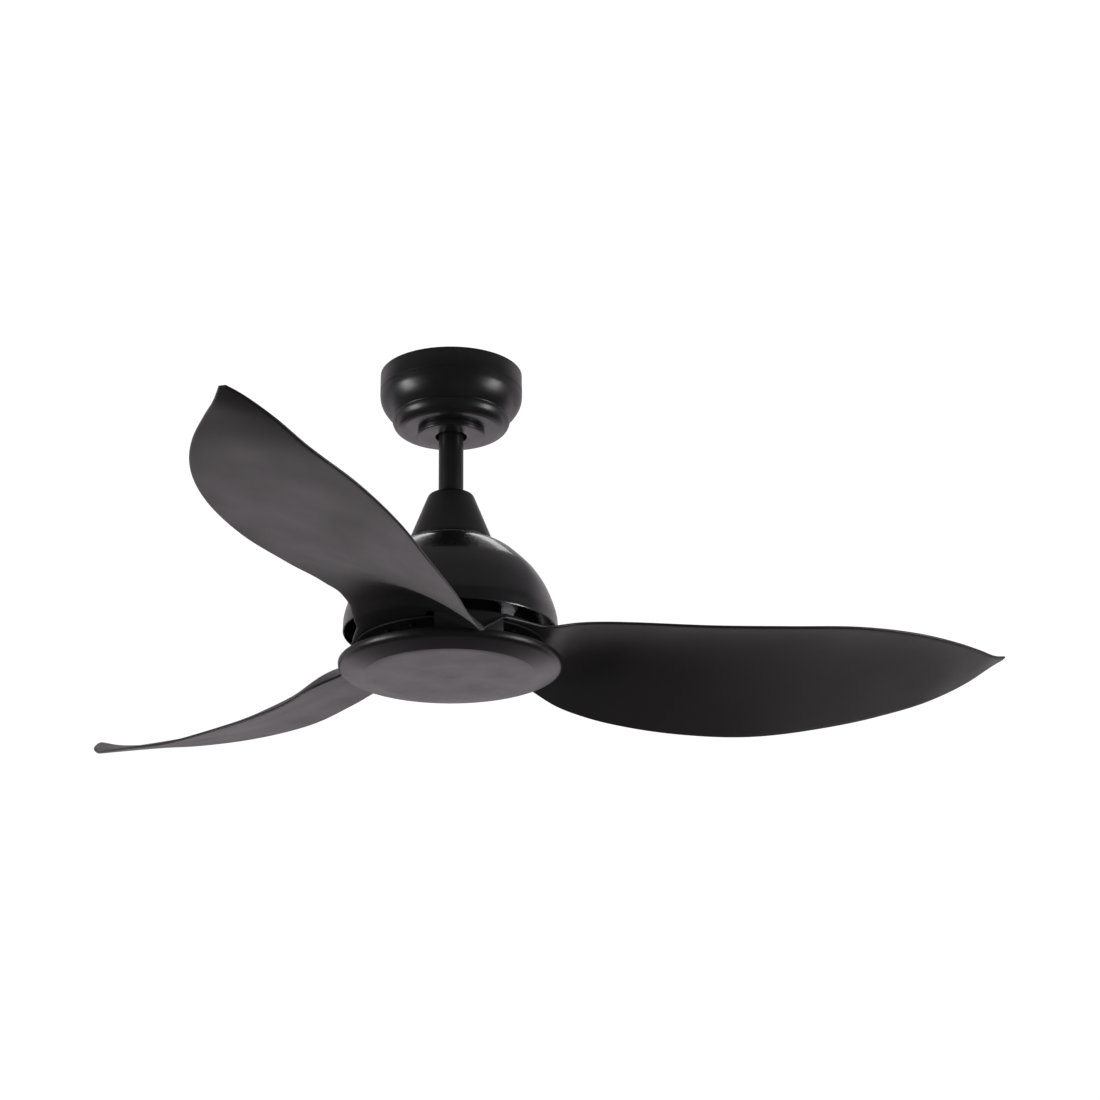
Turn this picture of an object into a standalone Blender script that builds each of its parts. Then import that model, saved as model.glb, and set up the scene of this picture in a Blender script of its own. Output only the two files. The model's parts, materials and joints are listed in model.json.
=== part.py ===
"""Three-blade ceiling fan with a short downrod and a blank cover under the motor.

Metres, +Z up.  The origin is on the fan's axis in the ceiling plane, and the fan hangs below it.
Blade 1 points along +X.  Each vertical place is worked out downward from the ceiling: bracket,
ball, rod, yoke, motor dome, hub plane, bottom cover.
"""

from math import cos, pi, radians, sin, sqrt, tan

import bmesh
import bpy
import numpy as np
from mathutils import Matrix, Vector

# ---------------------------------------------------------------- driving sizes
SWEEP_RADIUS = 0.610          # axis to blade tip: a 48 inch fan
ROD_LENGTH = 0.170            # downrod, end to end
ROD_RADIUS = 0.013
ROD_WALL = 0.0016
CANOPY_RADIUS = 0.075
CANOPY_DEPTH = 0.0645
ROTOR_RADIUS = 0.070          # outside of the motor's turning shell
BALL_RADIUS = 0.022
BLADE_COUNT = 3
BLADE_THICKNESS = 0.0032
TILT_LIMIT = radians(2.5)     # swing of the ball about each of its two axes

# ---------------------------------------------------------------- fits and walls
TOUCH = 0.0003                # gap between two pieces that touch
SHELL = 0.0015                # moulded and pressed covers
PLATE = 0.0025                # pressed steel
RUNNING_GAP = 0.0011          # magnets to stator
PIN_RADIUS = 0.003
SCREW_RADIUS = 0.002
SCREW_HEAD_RADIUS = 0.0036
SCREW_HEAD_HEIGHT = 0.002
SCREW_HOLE = SCREW_RADIUS + TOUCH
OVERRUN = 0.001               # how far a cut runs past the faces that it opens
CANOPY_SCREW_LENGTH = 0.007
DOME_SCREW_LENGTH = 0.0062
CASING_SCREW_LENGTH = 0.008
HUB_SCREW_LENGTH = 0.009
BLADE_SCREW_LENGTH = 0.0076

# ---------------------------------------------------------------- places down the axis
BALL_Z = -0.008 - BALL_RADIUS
ROD_TOP = BALL_Z + 0.014
ROD_BOTTOM = ROD_TOP - ROD_LENGTH
YOKE_TOP = ROD_BOTTOM + 0.028
YOKE_PIN_Z = ROD_BOTTOM + 0.014
SET_SCREW_Z = ROD_BOTTOM + 0.006
YOKE_FLANGE_TOP = ROD_BOTTOM - 0.0048
YOKE_FLANGE = 0.0019
DOME_TOP = YOKE_FLANGE_TOP - YOKE_FLANGE - TOUCH
YOKE_BOTTOM = DOME_TOP - 0.011
DOME_HEIGHT = 0.0963
HUB_Z = DOME_TOP - 0.129      # plane of the bottom cover's rim
UPPER_BEARING_TOP = YOKE_BOTTOM - 0.0025
BEARING_WIDTH = 0.010
LOWER_BEARING_TOP = UPPER_BEARING_TOP - 0.0505
ROTOR_TOP = UPPER_BEARING_TOP - 0.0075
ROTOR_SPLIT = ROTOR_TOP - 0.027
ROTOR_BOTTOM = ROTOR_SPLIT - 0.024
STATOR_TOP = ROTOR_TOP - 0.018
STATOR_STACK = 0.020
HUB_FLANGE_TOP = HUB_Z + 0.0195
BLADE_SEAT_Z = HUB_FLANGE_TOP + TOUCH
CLAMP_RING_BOTTOM = BLADE_SEAT_Z + BLADE_THICKNESS + TOUCH
CLAMP_RING_TOP = CLAMP_RING_BOTTOM + 0.0022
LIGHT_PLATE_TOP = HUB_Z + 0.013
LIGHT_PLATE_RIM_TOP = HUB_Z - 0.0013
COVER_TOP = HUB_Z + 0.001
COVER_BOTTOM = HUB_Z - 0.0129
SHAFT_TOP = ROD_BOTTOM - 0.001
SHAFT_BOTTOM = LIGHT_PLATE_TOP - 0.0095

# ---------------------------------------------------------------- places out from the axis
YOKE_RADIUS = ROD_RADIUS + 0.006
YOKE_FLANGE_RADIUS = 0.0415
DOME_SCREW_CIRCLE = 0.030
SHAFT_RADIUS = 0.010
SHAFT_BORE = 0.0065
RACE = 0.0032                 # radial thickness of an inner bearing race
BALL_TRACK = 0.0035           # radial room for the bearing balls
BEARING_RADIUS = SHAFT_RADIUS + TOUCH + RACE + BALL_TRACK + 0.0037
ROTOR_WALL = 0.0025
MAGNET = 0.007
MAGNET_OUTER = ROTOR_RADIUS - ROTOR_WALL - TOUCH
STATOR_RADIUS = MAGNET_OUTER - MAGNET - RUNNING_GAP
ROTOR_FLANGE_RADIUS = ROTOR_RADIUS + 0.009
CASING_SCREW_CIRCLE = ROTOR_RADIUS + 0.0045
DOME_RADIUS = ROTOR_RADIUS + 0.0402
HUB_RADIUS = DOME_RADIUS - 0.0102
HUB_SCREW_CIRCLE = 0.042
HUB_DISC = 0.003
HUB_EDGE = HUB_RADIUS - 0.003
APRON_BOTTOM = HUB_Z + 0.004
COVER_RADIUS = DOME_RADIUS + 0.0044
BLADE_ROOT_RADIUS = COVER_RADIUS + 0.0034
ROOT_CLEARANCE = 0.0012       # blade root to hub skirt, and to its own outer side at the rear
CANOPY_SCREW_X = ROD_RADIUS + 0.0095
BRACKET_HALF_LENGTH = 0.055
BRACKET_HALF_WIDTH = BALL_RADIUS
BRACKET_LEG_INNER = max(BALL_RADIUS + 0.004, CANOPY_SCREW_X + SCREW_RADIUS + 0.0015)
BRACKET_LEG_OUTER = BRACKET_LEG_INNER + 0.003
TRIM_RADIUS = 0.035
TRIM_HEIGHT = 0.0062

# ---------------------------------------------------------------- roundness
VISIBLE_STEPS = 30
HIDDEN_STEPS = 20
MOTOR_STEPS = 32
SCREW_STEPS = 8

# The blade's two edges, from root to tip.  Each row: share of the way from BLADE_ROOT_RADIUS to
# SWEEP_RADIUS, azimuth in degrees from the blade's own axis, height above HUB_Z.
LEADING_EDGE = (
    (0.00, -23.5, 0.0225), (0.03, -16.9, 0.0280), (0.08, -11.2, 0.0318), (0.16, -7.6, 0.0323),
    (0.29, -4.9, 0.0305), (0.46, -2.8, 0.0308), (0.62, -0.1, 0.0350), (0.75, 3.4, 0.0377),
    (0.85, 7.0, 0.0397), (0.92, 10.0, 0.0423), (0.97, 12.0, 0.0440), (1.00, 13.0, 0.0480),
)
TRAILING_EDGE = (
    (0.00, 45.2, -0.0040), (0.065, 44.0, -0.0140), (0.13, 39.8, -0.0230), (0.225, 35.9, -0.0290),
    (0.35, 32.5, -0.0310), (0.50, 28.8, -0.0280), (0.65, 25.4, -0.0156), (0.77, 22.2, -0.0022),
    (0.88, 18.6, 0.0144), (0.945, 16.4, 0.0306), (0.985, 14.4, 0.0440), (1.00, 13.6, 0.0480),
)
# How late across the chord the blade drops to its trailing edge: 1 is a flat section.
CAMBER_POWER = ((0.00, 4.0), (0.12, 2.2), (0.25, 1.6), (0.60, 1.35), (1.00, 1.0))
ROOT_CROWN = 0.0025           # extra height in the middle of the root section
CHORD_CELLS = 6
SPAN_SHARES = (0.02, 0.05, 0.10, 0.17, 0.26, 0.37, 0.49, 0.61, 0.72, 0.81, 0.88, 0.93, 0.97, 1.00)
# The collar that carries the root round the hub, ahead of the leading edge.  Each row: azimuth in
# degrees, inner radius past the hub, outer radius past the hub, height above HUB_Z.
COLLAR = (
    (-74.4, 0.0160, 0.0180, -0.0040), (-70.0, 0.0152, 0.0180, 0.0030),
    (-66.0, 0.0035, 0.0115, 0.0085), (-61.0, 0.0012, 0.0065, 0.0155),
    (-56.0, 0.0010, 0.0035, 0.0200),
)
# The same, where the flange runs in under the motor: azimuth, outer radius past the hub.
COLLAR_FLANGE = ((-52.0, 0.0030), (-44.0, 0.0040), (-35.0, 0.0070), (-28.5, 0.0120))
FLANGE_INNER_RADIUS = HUB_RADIUS - 0.034
FLANGE_LAST_AZIMUTH = 14.0
BLADE_SCREW_CIRCLE = HUB_RADIUS - 0.018
BLADE_SCREW_AZIMUTHS = (-40.0, -18.0, 4.0)
APRON_FIRST, APRON_LAST = 22.0, 63.0    # azimuths in degrees, after blade 1


# ---------------------------------------------------------------- materials
def principled(name, colour, roughness, metallic):
    material = bpy.data.materials.new(name)
    material.use_nodes = True
    shader = material.node_tree.nodes["Principled BSDF"]
    shader.inputs["Base Color"].default_value = (*colour, 1.0)
    shader.inputs["Roughness"].default_value = roughness
    shader.inputs["Metallic"].default_value = metallic
    material.diffuse_color = (*colour, 1.0)
    return material


def make_materials():
    return {
        "gloss_black_paint": principled("gloss_black_paint", (0.012, 0.012, 0.013), 0.28, 0.0),
        "satin_black_paint": principled("satin_black_paint", (0.016, 0.016, 0.017), 0.42, 0.0),
        "matte_black_plastic": principled("matte_black_plastic", (0.020, 0.018, 0.019), 0.55, 0.0),
        "zinc_steel": principled("zinc_steel", (0.62, 0.62, 0.60), 0.35, 1.0),
        "cast_aluminium": principled("cast_aluminium", (0.55, 0.56, 0.57), 0.45, 1.0),
        "lamination_steel": principled("lamination_steel", (0.30, 0.30, 0.31), 0.5, 1.0),
        "copper_winding": principled("copper_winding", (0.70, 0.32, 0.14), 0.35, 1.0),
        "ferrite": principled("ferrite", (0.08, 0.08, 0.085), 0.6, 0.2),
        "black_screw": principled("black_screw", (0.03, 0.03, 0.03), 0.35, 0.6),
        "nylon": principled("nylon", (0.80, 0.79, 0.74), 0.45, 0.0),
    }


# ---------------------------------------------------------------- mesh tools
def finish_object(name, mesh_data, material):
    """Make the object from a closed bmesh, faces out and round faces smooth."""
    bmesh.ops.remove_doubles(mesh_data, verts=mesh_data.verts, dist=1e-7)
    bmesh.ops.recalc_face_normals(mesh_data, faces=mesh_data.faces)
    mesh = bpy.data.meshes.new(name)
    mesh_data.to_mesh(mesh)
    mesh_data.free()
    mesh.shade_smooth()
    mesh.set_sharp_from_angle(angle=radians(32))
    if material is not None:
        mesh.materials.append(material)
    item = bpy.data.objects.new(name, mesh)
    bpy.context.collection.objects.link(item)
    return item


def turned(name, profile, material, steps, closed=True):
    """Spin (radius, z) points about Z: a closed ring section, or an open one from axis to axis."""
    data = bmesh.new()
    points = [data.verts.new((radius, 0.0, height)) for radius, height in profile]
    edges = [data.edges.new(pair) for pair in zip(points, points[1:])]
    if closed:
        edges.append(data.edges.new((points[-1], points[0])))
    bmesh.ops.spin(data, geom=points + edges, axis=(0, 0, 1), cent=(0, 0, 0),
                   angle=2 * pi, steps=steps, use_duplicate=False)
    return finish_object(name, data, material)


def toothed_ring(name, outline, bore, bottom, top, material):
    """A flat ring whose outer edge follows outline, a list of (azimuth, radius)."""
    data = bmesh.new()
    loops = []
    for height in (bottom, top):
        outer = [data.verts.new((r * cos(a), r * sin(a), height)) for a, r in outline]
        inner = [data.verts.new((bore * cos(a), bore * sin(a), height)) for a, _ in outline]
        loops.append((outer, inner))
    (low_out, low_in), (high_out, high_in) = loops
    for start in range(len(outline)):
        end = (start + 1) % len(outline)
        for first, second in ((low_out, high_out), (high_out, high_in),
                              (high_in, low_in), (low_in, low_out)):
            data.faces.new((first[start], first[end], second[end], second[start]))
    return finish_object(name, data, material)


def block(name, low, high, material=None):
    """A box from its lowest to its highest corner."""
    data = bmesh.new()
    low, high = Vector(low), Vector(high)
    size = Matrix.Diagonal((*(high - low), 1.0))
    bmesh.ops.create_cube(data, size=1.0, matrix=Matrix.Translation((low + high) / 2) @ size)
    return finish_object(name, data, material)


def rod_between(name, start, end, radius, steps=SCREW_STEPS, material=None):
    """A plain round bar between two points."""
    data = bmesh.new()
    start, end = Vector(start), Vector(end)
    turn = (end - start).to_track_quat("Z", "Y").to_matrix().to_4x4()
    bmesh.ops.create_cone(data, cap_ends=True, segments=steps, radius1=radius, radius2=radius,
                          depth=(end - start).length,
                          matrix=Matrix.Translation((start + end) / 2) @ turn)
    return finish_object(name, data, material)


def combine(item, others, operation):
    """Apply one exact Boolean for each of the others, which are then removed."""
    for other in others:
        modifier = item.modifiers.new("combine", "BOOLEAN")
        modifier.operation = operation
        modifier.solver = "EXACT"
        modifier.object = other
    bpy.context.view_layer.update()
    graph = bpy.context.evaluated_depsgraph_get()
    result = bpy.data.meshes.new_from_object(item.evaluated_get(graph))
    item.modifiers.clear()
    item.data = result
    data = bmesh.new()
    data.from_mesh(result)
    bmesh.ops.remove_doubles(data, verts=data.verts, dist=2e-6)
    bmesh.ops.dissolve_degenerate(data, edges=data.edges, dist=1e-6)
    data.to_mesh(result)
    data.free()
    for other in others:
        bpy.data.objects.remove(other)
    result.set_sharp_from_angle(angle=radians(32))
    return item


def screw(name, length, material):
    """A pan-head screw along Z: its head sits above the origin, its shank runs down from it."""
    dome = SCREW_HEAD_HEIGHT
    profile = ((0.0, dome), (SCREW_HEAD_RADIUS * 0.7, dome), (SCREW_HEAD_RADIUS, 0.0),
               (SCREW_RADIUS, 0.0), (SCREW_RADIUS, -length), (0.0, -length))
    return turned(name, profile, material, SCREW_STEPS, closed=False)


def ring_places(count, radius, first_azimuth):
    """Evenly spaced (x, y) places on a circle."""
    azimuths = [first_azimuth + 2 * pi * index / count for index in range(count)]
    return [(radius * cos(azimuth), radius * sin(azimuth)) for azimuth in azimuths]


def drill(item, places, low, high, radius=SCREW_HOLE):
    """Vertical through holes at the (x, y) places."""
    drills = [rod_between("drill", (x, y, low), (x, y, high), radius) for x, y in places]
    return combine(item, drills, "DIFFERENCE")


def smooth_value(table, share, column):
    """Read a table's column at a share of the way along, on a smooth curve through its rows."""
    places = np.array([row[0] for row in table])
    values = np.array([row[column] for row in table])
    slopes = np.gradient(values, places)
    cell = int(np.clip(np.searchsorted(places, share) - 1, 0, len(places) - 2))
    width = places[cell + 1] - places[cell]
    t = (share - places[cell]) / width
    return float((2 * t**3 - 3 * t**2 + 1) * values[cell] + (t**3 - 2 * t**2 + t) * width * slopes[cell]
                 + (3 * t**2 - 2 * t**3) * values[cell + 1] + (t**3 - t**2) * width * slopes[cell + 1])


# ---------------------------------------------------------------- hanging gear
def swing_room(depth_below_ball):
    """How far the rod's side moves out, that far below the ball, with both tilts at their limit."""
    return depth_below_ball * tan(TILT_LIMIT) * sqrt(2)


def saddle_section():
    """The ring that carries the ball: a band of a sphere inside, a plain wall outside."""
    radius = BALL_RADIUS + 0.0004
    wall = BRACKET_LEG_INNER + 0.001
    depth = min(0.0155, sqrt(radius**2 - (ROD_RADIUS + 0.003)**2))
    top, bottom = BALL_Z - 0.007, BALL_Z - depth
    count = 4
    seat = []
    for index in range(count + 1):
        height = bottom + (top - bottom) * index / count
        seat.append((sqrt(radius**2 - (height - BALL_Z)**2), height))
    return seat + [(wall, top), (wall, bottom)]


def make_bracket(materials):
    """U-shaped ceiling bracket: top plate, two legs, ball saddle with a side slot, screw feet."""
    steel = materials["zinc_steel"]
    foot_thickness = 0.002
    leg_half, foot_half = 0.014, 0.008
    foot_inner = CANOPY_SCREW_X - 0.0035
    foot_top = -CANOPY_DEPTH + SHELL + TOUCH + foot_thickness
    foot_bottom = foot_top - foot_thickness
    bracket = block("hanger_bracket", (-BRACKET_HALF_LENGTH, -BRACKET_HALF_WIDTH, -PLATE),
                    (BRACKET_HALF_LENGTH, BRACKET_HALF_WIDTH, 0.0), steel)
    additions = [turned("saddle", saddle_section(), None, VISIBLE_STEPS)]
    for side in (-1, 1):
        edges = sorted((side * BRACKET_LEG_INNER, side * BRACKET_LEG_OUTER))
        additions.append(block("leg", (edges[0], -leg_half, foot_bottom), (edges[1], leg_half, -0.001)))
        foot = sorted((side * foot_inner, side * BRACKET_LEG_OUTER))
        additions.append(block("foot", (foot[0], -foot_half, foot_bottom), (foot[1], foot_half, foot_top)))
    combine(bracket, additions, "UNION")
    slot_half = ROD_RADIUS + 0.0015
    slot = block("slot", (-slot_half, -BALL_RADIUS - 0.010, BALL_Z - 0.020), (slot_half, 0.0, BALL_Z - 0.002))
    cuts = [slot]
    ceiling_slot = (0.006, 0.0026)        # half length and half width
    cable_hole, cable_hole_y = 0.005, 0.0145
    below, above = -2 * PLATE, 0.002      # the cuts run well past both faces of the plate
    for side in (-1, 1):
        x = side * (BRACKET_HALF_LENGTH - 0.012)
        cuts.append(block("ceiling_slot", (x - ceiling_slot[0], -ceiling_slot[1], below),
                          (x + ceiling_slot[0], ceiling_slot[1], above)))
        y = side * cable_hole_y
        cuts.append(rod_between("cable_hole", (0, y, below), (0, y, above), cable_hole, 12))
    combine(bracket, cuts, "DIFFERENCE")
    places = ((-CANOPY_SCREW_X, 0.0), (CANOPY_SCREW_X, 0.0))
    drill(bracket, places, foot_bottom - 0.002, foot_top + 0.002)
    return foot_top


def canopy_outline():
    """Outer profile of the canopy, top to bottom: band, bulge, groove, lower roll, flat."""
    shares = (
        (-0.0006, 0.0005), (0.0, 0.0200), (0.0, 0.0235), (-0.0015, 0.0320), (-0.0047, 0.0390),
        (-0.0095, 0.0455), (-0.0137, 0.0497), (-0.0130, 0.0530), (-0.0150, 0.0590),
        (-0.0180, 0.0625), (-0.0230, CANOPY_DEPTH),
    )
    return [(CANOPY_RADIUS + inset, -depth) for inset, depth in shares]


def make_canopy(materials):
    """The bell that hides the bracket, its trim ring, and the two screws that hold it."""
    hole = ROD_RADIUS + swing_room(CANOPY_DEPTH + BALL_Z) + 0.0008
    outer = canopy_outline()
    inner_bottom = -CANOPY_DEPTH + SHELL
    inner = [(hole, inner_bottom), (outer[-1][0], inner_bottom),
             (outer[6][0] - SHELL, outer[7][1] + SHELL), (outer[4][0] - SHELL, outer[4][1]),
             (outer[2][0] - SHELL, outer[2][1]), (outer[0][0] - SHELL, outer[0][1])]
    profile = outer + [(hole, -CANOPY_DEPTH)] + inner
    canopy = turned("canopy", profile, materials["satin_black_paint"], VISIBLE_STEPS)
    places = ((-CANOPY_SCREW_X, 0.0), (CANOPY_SCREW_X, 0.0))
    drill(canopy, places, -CANOPY_DEPTH - 0.002, inner_bottom + 0.002)
    for index, (x, y) in enumerate(places, start=1):
        item = screw(f"canopy_screw_{index}", CANOPY_SCREW_LENGTH, materials["black_screw"])
        item.location = (x, y, -CANOPY_DEPTH - TOUCH)
        item.rotation_euler = (pi, 0, 0)
    top = -CANOPY_DEPTH - TOUCH
    bottom = top - TRIM_HEIGHT
    trim_hole = ROD_RADIUS + swing_room(BALL_Z - bottom) + 0.0008
    wall = 0.0012
    trim = [(TRIM_RADIUS, top), (TRIM_RADIUS, bottom + 0.0015), (TRIM_RADIUS - 0.0015, bottom),
            (trim_hole, bottom), (trim_hole, bottom + wall), (TRIM_RADIUS - wall, bottom + wall),
            (TRIM_RADIUS - wall, top)]
    turned("canopy_trim_ring", trim, materials["satin_black_paint"], VISIBLE_STEPS)


def make_electrics(materials):
    """Remote-control receiver and terminal block, one on each long side of the bracket plate."""
    side = BRACKET_HALF_WIDTH + TOUCH
    block("receiver_box", (-0.032, side, -0.026), (0.032, side + 0.028, -0.003),
          materials["matte_black_plastic"])
    block("terminal_block", (-0.014, -side - 0.012, -0.016), (0.014, -side, -0.003), materials["nylon"])


def make_ball(materials):
    """Hanger ball with its bore, and the pin that the rod hangs on."""
    bore = ROD_RADIUS + TOUCH + 0.015 * tan(TILT_LIMIT)
    low, high = -min(0.0145, sqrt(BALL_RADIUS**2 - (bore + 0.0015)**2)), 0.010
    count = 6
    outside = []
    for index in range(count + 1):
        height = high + (low - high) * index / count
        outside.append((sqrt(BALL_RADIUS**2 - height**2), BALL_Z + height))
    profile = outside + [(bore, BALL_Z + low), (bore, BALL_Z + high)]
    ball = turned("hanger_ball", profile, materials["nylon"], VISIBLE_STEPS)
    reach = BALL_RADIUS + 0.01
    hole = rod_between("pin_hole", (0, -reach, BALL_Z), (0, reach, BALL_Z), PIN_RADIUS + TOUCH, 12)
    combine(ball, [hole], "DIFFERENCE")
    half = BALL_RADIUS - 0.0015
    pin = rod_between("cross_pin", (0, -half, 0), (0, half, 0), PIN_RADIUS, 12, materials["zinc_steel"])
    pin.location = (0, 0, BALL_Z)


def make_rod(materials):
    """Downrod: a tube with one cross hole at each end."""
    inner = ROD_RADIUS - ROD_WALL
    profile = [(ROD_RADIUS, ROD_TOP), (ROD_RADIUS, ROD_BOTTOM), (inner, ROD_BOTTOM), (inner, ROD_TOP)]
    rod = turned("downrod", profile, materials["satin_black_paint"], VISIBLE_STEPS)
    reach = ROD_RADIUS + 0.005
    holes = [rod_between("hole", (0, -reach, z), (0, reach, z), PIN_RADIUS + TOUCH, 12)
             for z in (BALL_Z, YOKE_PIN_Z)]
    combine(rod, holes, "DIFFERENCE")


def make_yoke(materials):
    """Coupling between rod and motor shaft, with its pin, clip, set screws and dome screws."""
    rod_bore = ROD_RADIUS + TOUCH
    shaft_bore = SHAFT_RADIUS + TOUCH
    shoulder = ROD_BOTTOM - TOUCH
    flange_bottom = YOKE_FLANGE_TOP - YOKE_FLANGE
    profile = [(rod_bore, YOKE_TOP), (YOKE_RADIUS - 0.001, YOKE_TOP), (YOKE_RADIUS, YOKE_TOP - 0.001),
               (YOKE_RADIUS, YOKE_FLANGE_TOP), (YOKE_FLANGE_RADIUS, YOKE_FLANGE_TOP),
               (YOKE_FLANGE_RADIUS, flange_bottom), (YOKE_RADIUS, flange_bottom),
               (YOKE_RADIUS, YOKE_BOTTOM), (shaft_bore, YOKE_BOTTOM), (shaft_bore, shoulder),
               (rod_bore, shoulder)]
    yoke = turned("motor_yoke", profile, materials["cast_aluminium"], VISIBLE_STEPS)
    reach = YOKE_RADIUS + 0.005
    cuts = [rod_between("hole", (0, -reach, YOKE_PIN_Z), (0, reach, YOKE_PIN_Z), PIN_RADIUS + TOUCH, 12),
            rod_between("hole", (-reach, 0, SET_SCREW_Z), (reach, 0, SET_SCREW_Z), SCREW_RADIUS + TOUCH)]
    combine(yoke, cuts, "DIFFERENCE")
    places = ring_places(3, DOME_SCREW_CIRCLE, radians(30))
    drill(yoke, places, flange_bottom - OVERRUN, YOKE_FLANGE_TOP + OVERRUN)

    steel = materials["zinc_steel"]
    head = YOKE_RADIUS + TOUCH
    end = YOKE_RADIUS + 0.0045
    profile = ((0.0, head + 0.002), (PIN_RADIUS + 0.0015, head + 0.002), (PIN_RADIUS + 0.0015, head),
               (PIN_RADIUS, head), (PIN_RADIUS, -end), (0.0, -end))
    pin = turned("yoke_pin", profile, steel, 12, closed=False)
    clip_at = -YOKE_RADIUS - TOUCH
    clip_bore = PIN_RADIUS + TOUCH
    profile = ((clip_bore, clip_at), (clip_bore + 0.002, clip_at),
               (clip_bore + 0.002, clip_at - 0.0012), (clip_bore, clip_at - 0.0012))
    clip = turned("yoke_pin_clip", profile, steel, 12)
    for item in (pin, clip):
        item.location = (0, 0, YOKE_PIN_Z)
        item.rotation_euler = (pi / 2, 0, 0)
    for index, side in enumerate((-1, 1), start=1):
        item = rod_between(f"yoke_set_screw_{index}", (side * (ROD_RADIUS + TOUCH), 0, 0),
                           (side * (YOKE_RADIUS + 0.001), 0, 0), SCREW_RADIUS, SCREW_STEPS, steel)
        item.location = (0, 0, SET_SCREW_Z)
    for index, (x, y) in enumerate(places, start=1):
        item = screw(f"dome_screw_{index}", DOME_SCREW_LENGTH, steel)
        item.location = (x, y, YOKE_FLANGE_TOP + TOUCH)


def make_coupling_cover(materials):
    """Cone that slides up the rod and rests with its inner lip on the yoke's flange."""
    bottom = YOKE_FLANGE_TOP + TOUCH
    top = bottom + 0.0535
    base_radius = YOKE_FLANGE_RADIUS + 0.002
    lip = YOKE_FLANGE_RADIUS - 0.003
    hole = ROD_RADIUS + 0.0009
    neck = ROD_RADIUS + 0.0110
    wall = 0.0013
    profile = [(hole, top), (neck - 0.0045, top), (neck - 0.0017, top - 0.0016), (neck, top - 0.005),
               (base_radius - 0.0005, bottom + 0.0025), (base_radius, bottom), (lip, bottom),
               (lip, bottom + wall), (base_radius - 0.0028, bottom + wall),
               (neck - 0.0016, top - 0.0062), (hole, top - 0.0022)]
    turned("coupling_cover", profile, materials["satin_black_paint"], VISIBLE_STEPS)


# ---------------------------------------------------------------- motor
def dome_outline():
    """Outer profile of the dome, top to rim: how far in from DOME_RADIUS, how far below DOME_TOP."""
    rows = ((0.0672, 0.0), (0.0582, 0.0025), (0.0472, 0.0090), (0.0376, 0.0172), (0.0205, 0.0357),
            (0.0112, 0.0510), (0.0048, 0.0666), (0.0005, 0.0810), (0.0, DOME_HEIGHT))
    return [(DOME_RADIUS - inset, DOME_TOP - depth) for inset, depth in rows]


def make_dome(materials):
    """Upper housing over the motor, screwed up under the yoke's flange."""
    outer = dome_outline()
    hole = YOKE_RADIUS + TOUCH
    inner = [(radius - SHELL, height) for radius, height in reversed(outer[3:])]
    inner += [(outer[1][0] - SHELL, outer[1][1] - SHELL), (hole, DOME_TOP - SHELL)]
    dome = turned("motor_dome", [(hole, DOME_TOP)] + outer + inner, materials["gloss_black_paint"],
                  VISIBLE_STEPS)
    places = ring_places(3, DOME_SCREW_CIRCLE, radians(30))
    drill(dome, places, DOME_TOP - SHELL - OVERRUN, DOME_TOP + OVERRUN)


def ring(name, inner, outer, bottom, top, material, steps):
    """A plain turned ring."""
    return turned(name, [(inner, top), (outer, top), (outer, bottom), (inner, bottom)], material, steps)


def make_bearing(label, top, materials):
    """Inner race, ring of balls and outer race of one bearing."""
    steel = materials["zinc_steel"]
    bottom = top - BEARING_WIDTH
    race_outer = SHAFT_RADIUS + TOUCH + RACE
    track_outer = race_outer + BALL_TRACK
    ring(f"bearing_{label}_inner", SHAFT_RADIUS + TOUCH, race_outer, bottom, top, steel, HIDDEN_STEPS)
    middle, ball = (race_outer + track_outer) / 2, BALL_TRACK / 2 - TOUCH
    circle = [(middle + ball * cos(a), (top + bottom) / 2 + ball * sin(a))
              for a in (-2 * pi * index / 6 for index in range(6))]
    turned(f"bearing_{label}_balls", circle, steel, HIDDEN_STEPS)
    ring(f"bearing_{label}_outer", track_outer, BEARING_RADIUS, bottom, top, steel, HIDDEN_STEPS)


def make_stator(materials):
    """Hollow shaft, slotted core and the two ends of the winding, all standing still."""
    ring("motor_shaft", SHAFT_BORE, SHAFT_RADIUS, SHAFT_BOTTOM, SHAFT_TOP, materials["zinc_steel"],
         HIDDEN_STEPS)
    teeth = 12
    outline = []
    for index in range(teeth):
        start = 2 * pi * index / teeth
        pitch = 2 * pi / teeth
        slot_floor = STATOR_RADIUS - 0.016
        outline += [(start, STATOR_RADIUS), (start + 0.40 * pitch, STATOR_RADIUS),
                    (start + 0.80 * pitch, STATOR_RADIUS), (start + 0.82 * pitch, slot_floor),
                    (start + 0.98 * pitch, slot_floor)]
    bottom = STATOR_TOP - STATOR_STACK
    toothed_ring("stator_core", outline, SHAFT_RADIUS + TOUCH, bottom, STATOR_TOP,
                 materials["lamination_steel"])
    copper = materials["copper_winding"]
    inner, outer, bulge = STATOR_RADIUS - 0.020, STATOR_RADIUS - 0.003, 0.006
    ring("winding_upper", inner, outer, STATOR_TOP + TOUCH, STATOR_TOP + bulge, copper, HIDDEN_STEPS)
    ring("winding_lower", inner, outer, bottom - bulge, bottom - TOUCH, copper, HIDDEN_STEPS)


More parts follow.
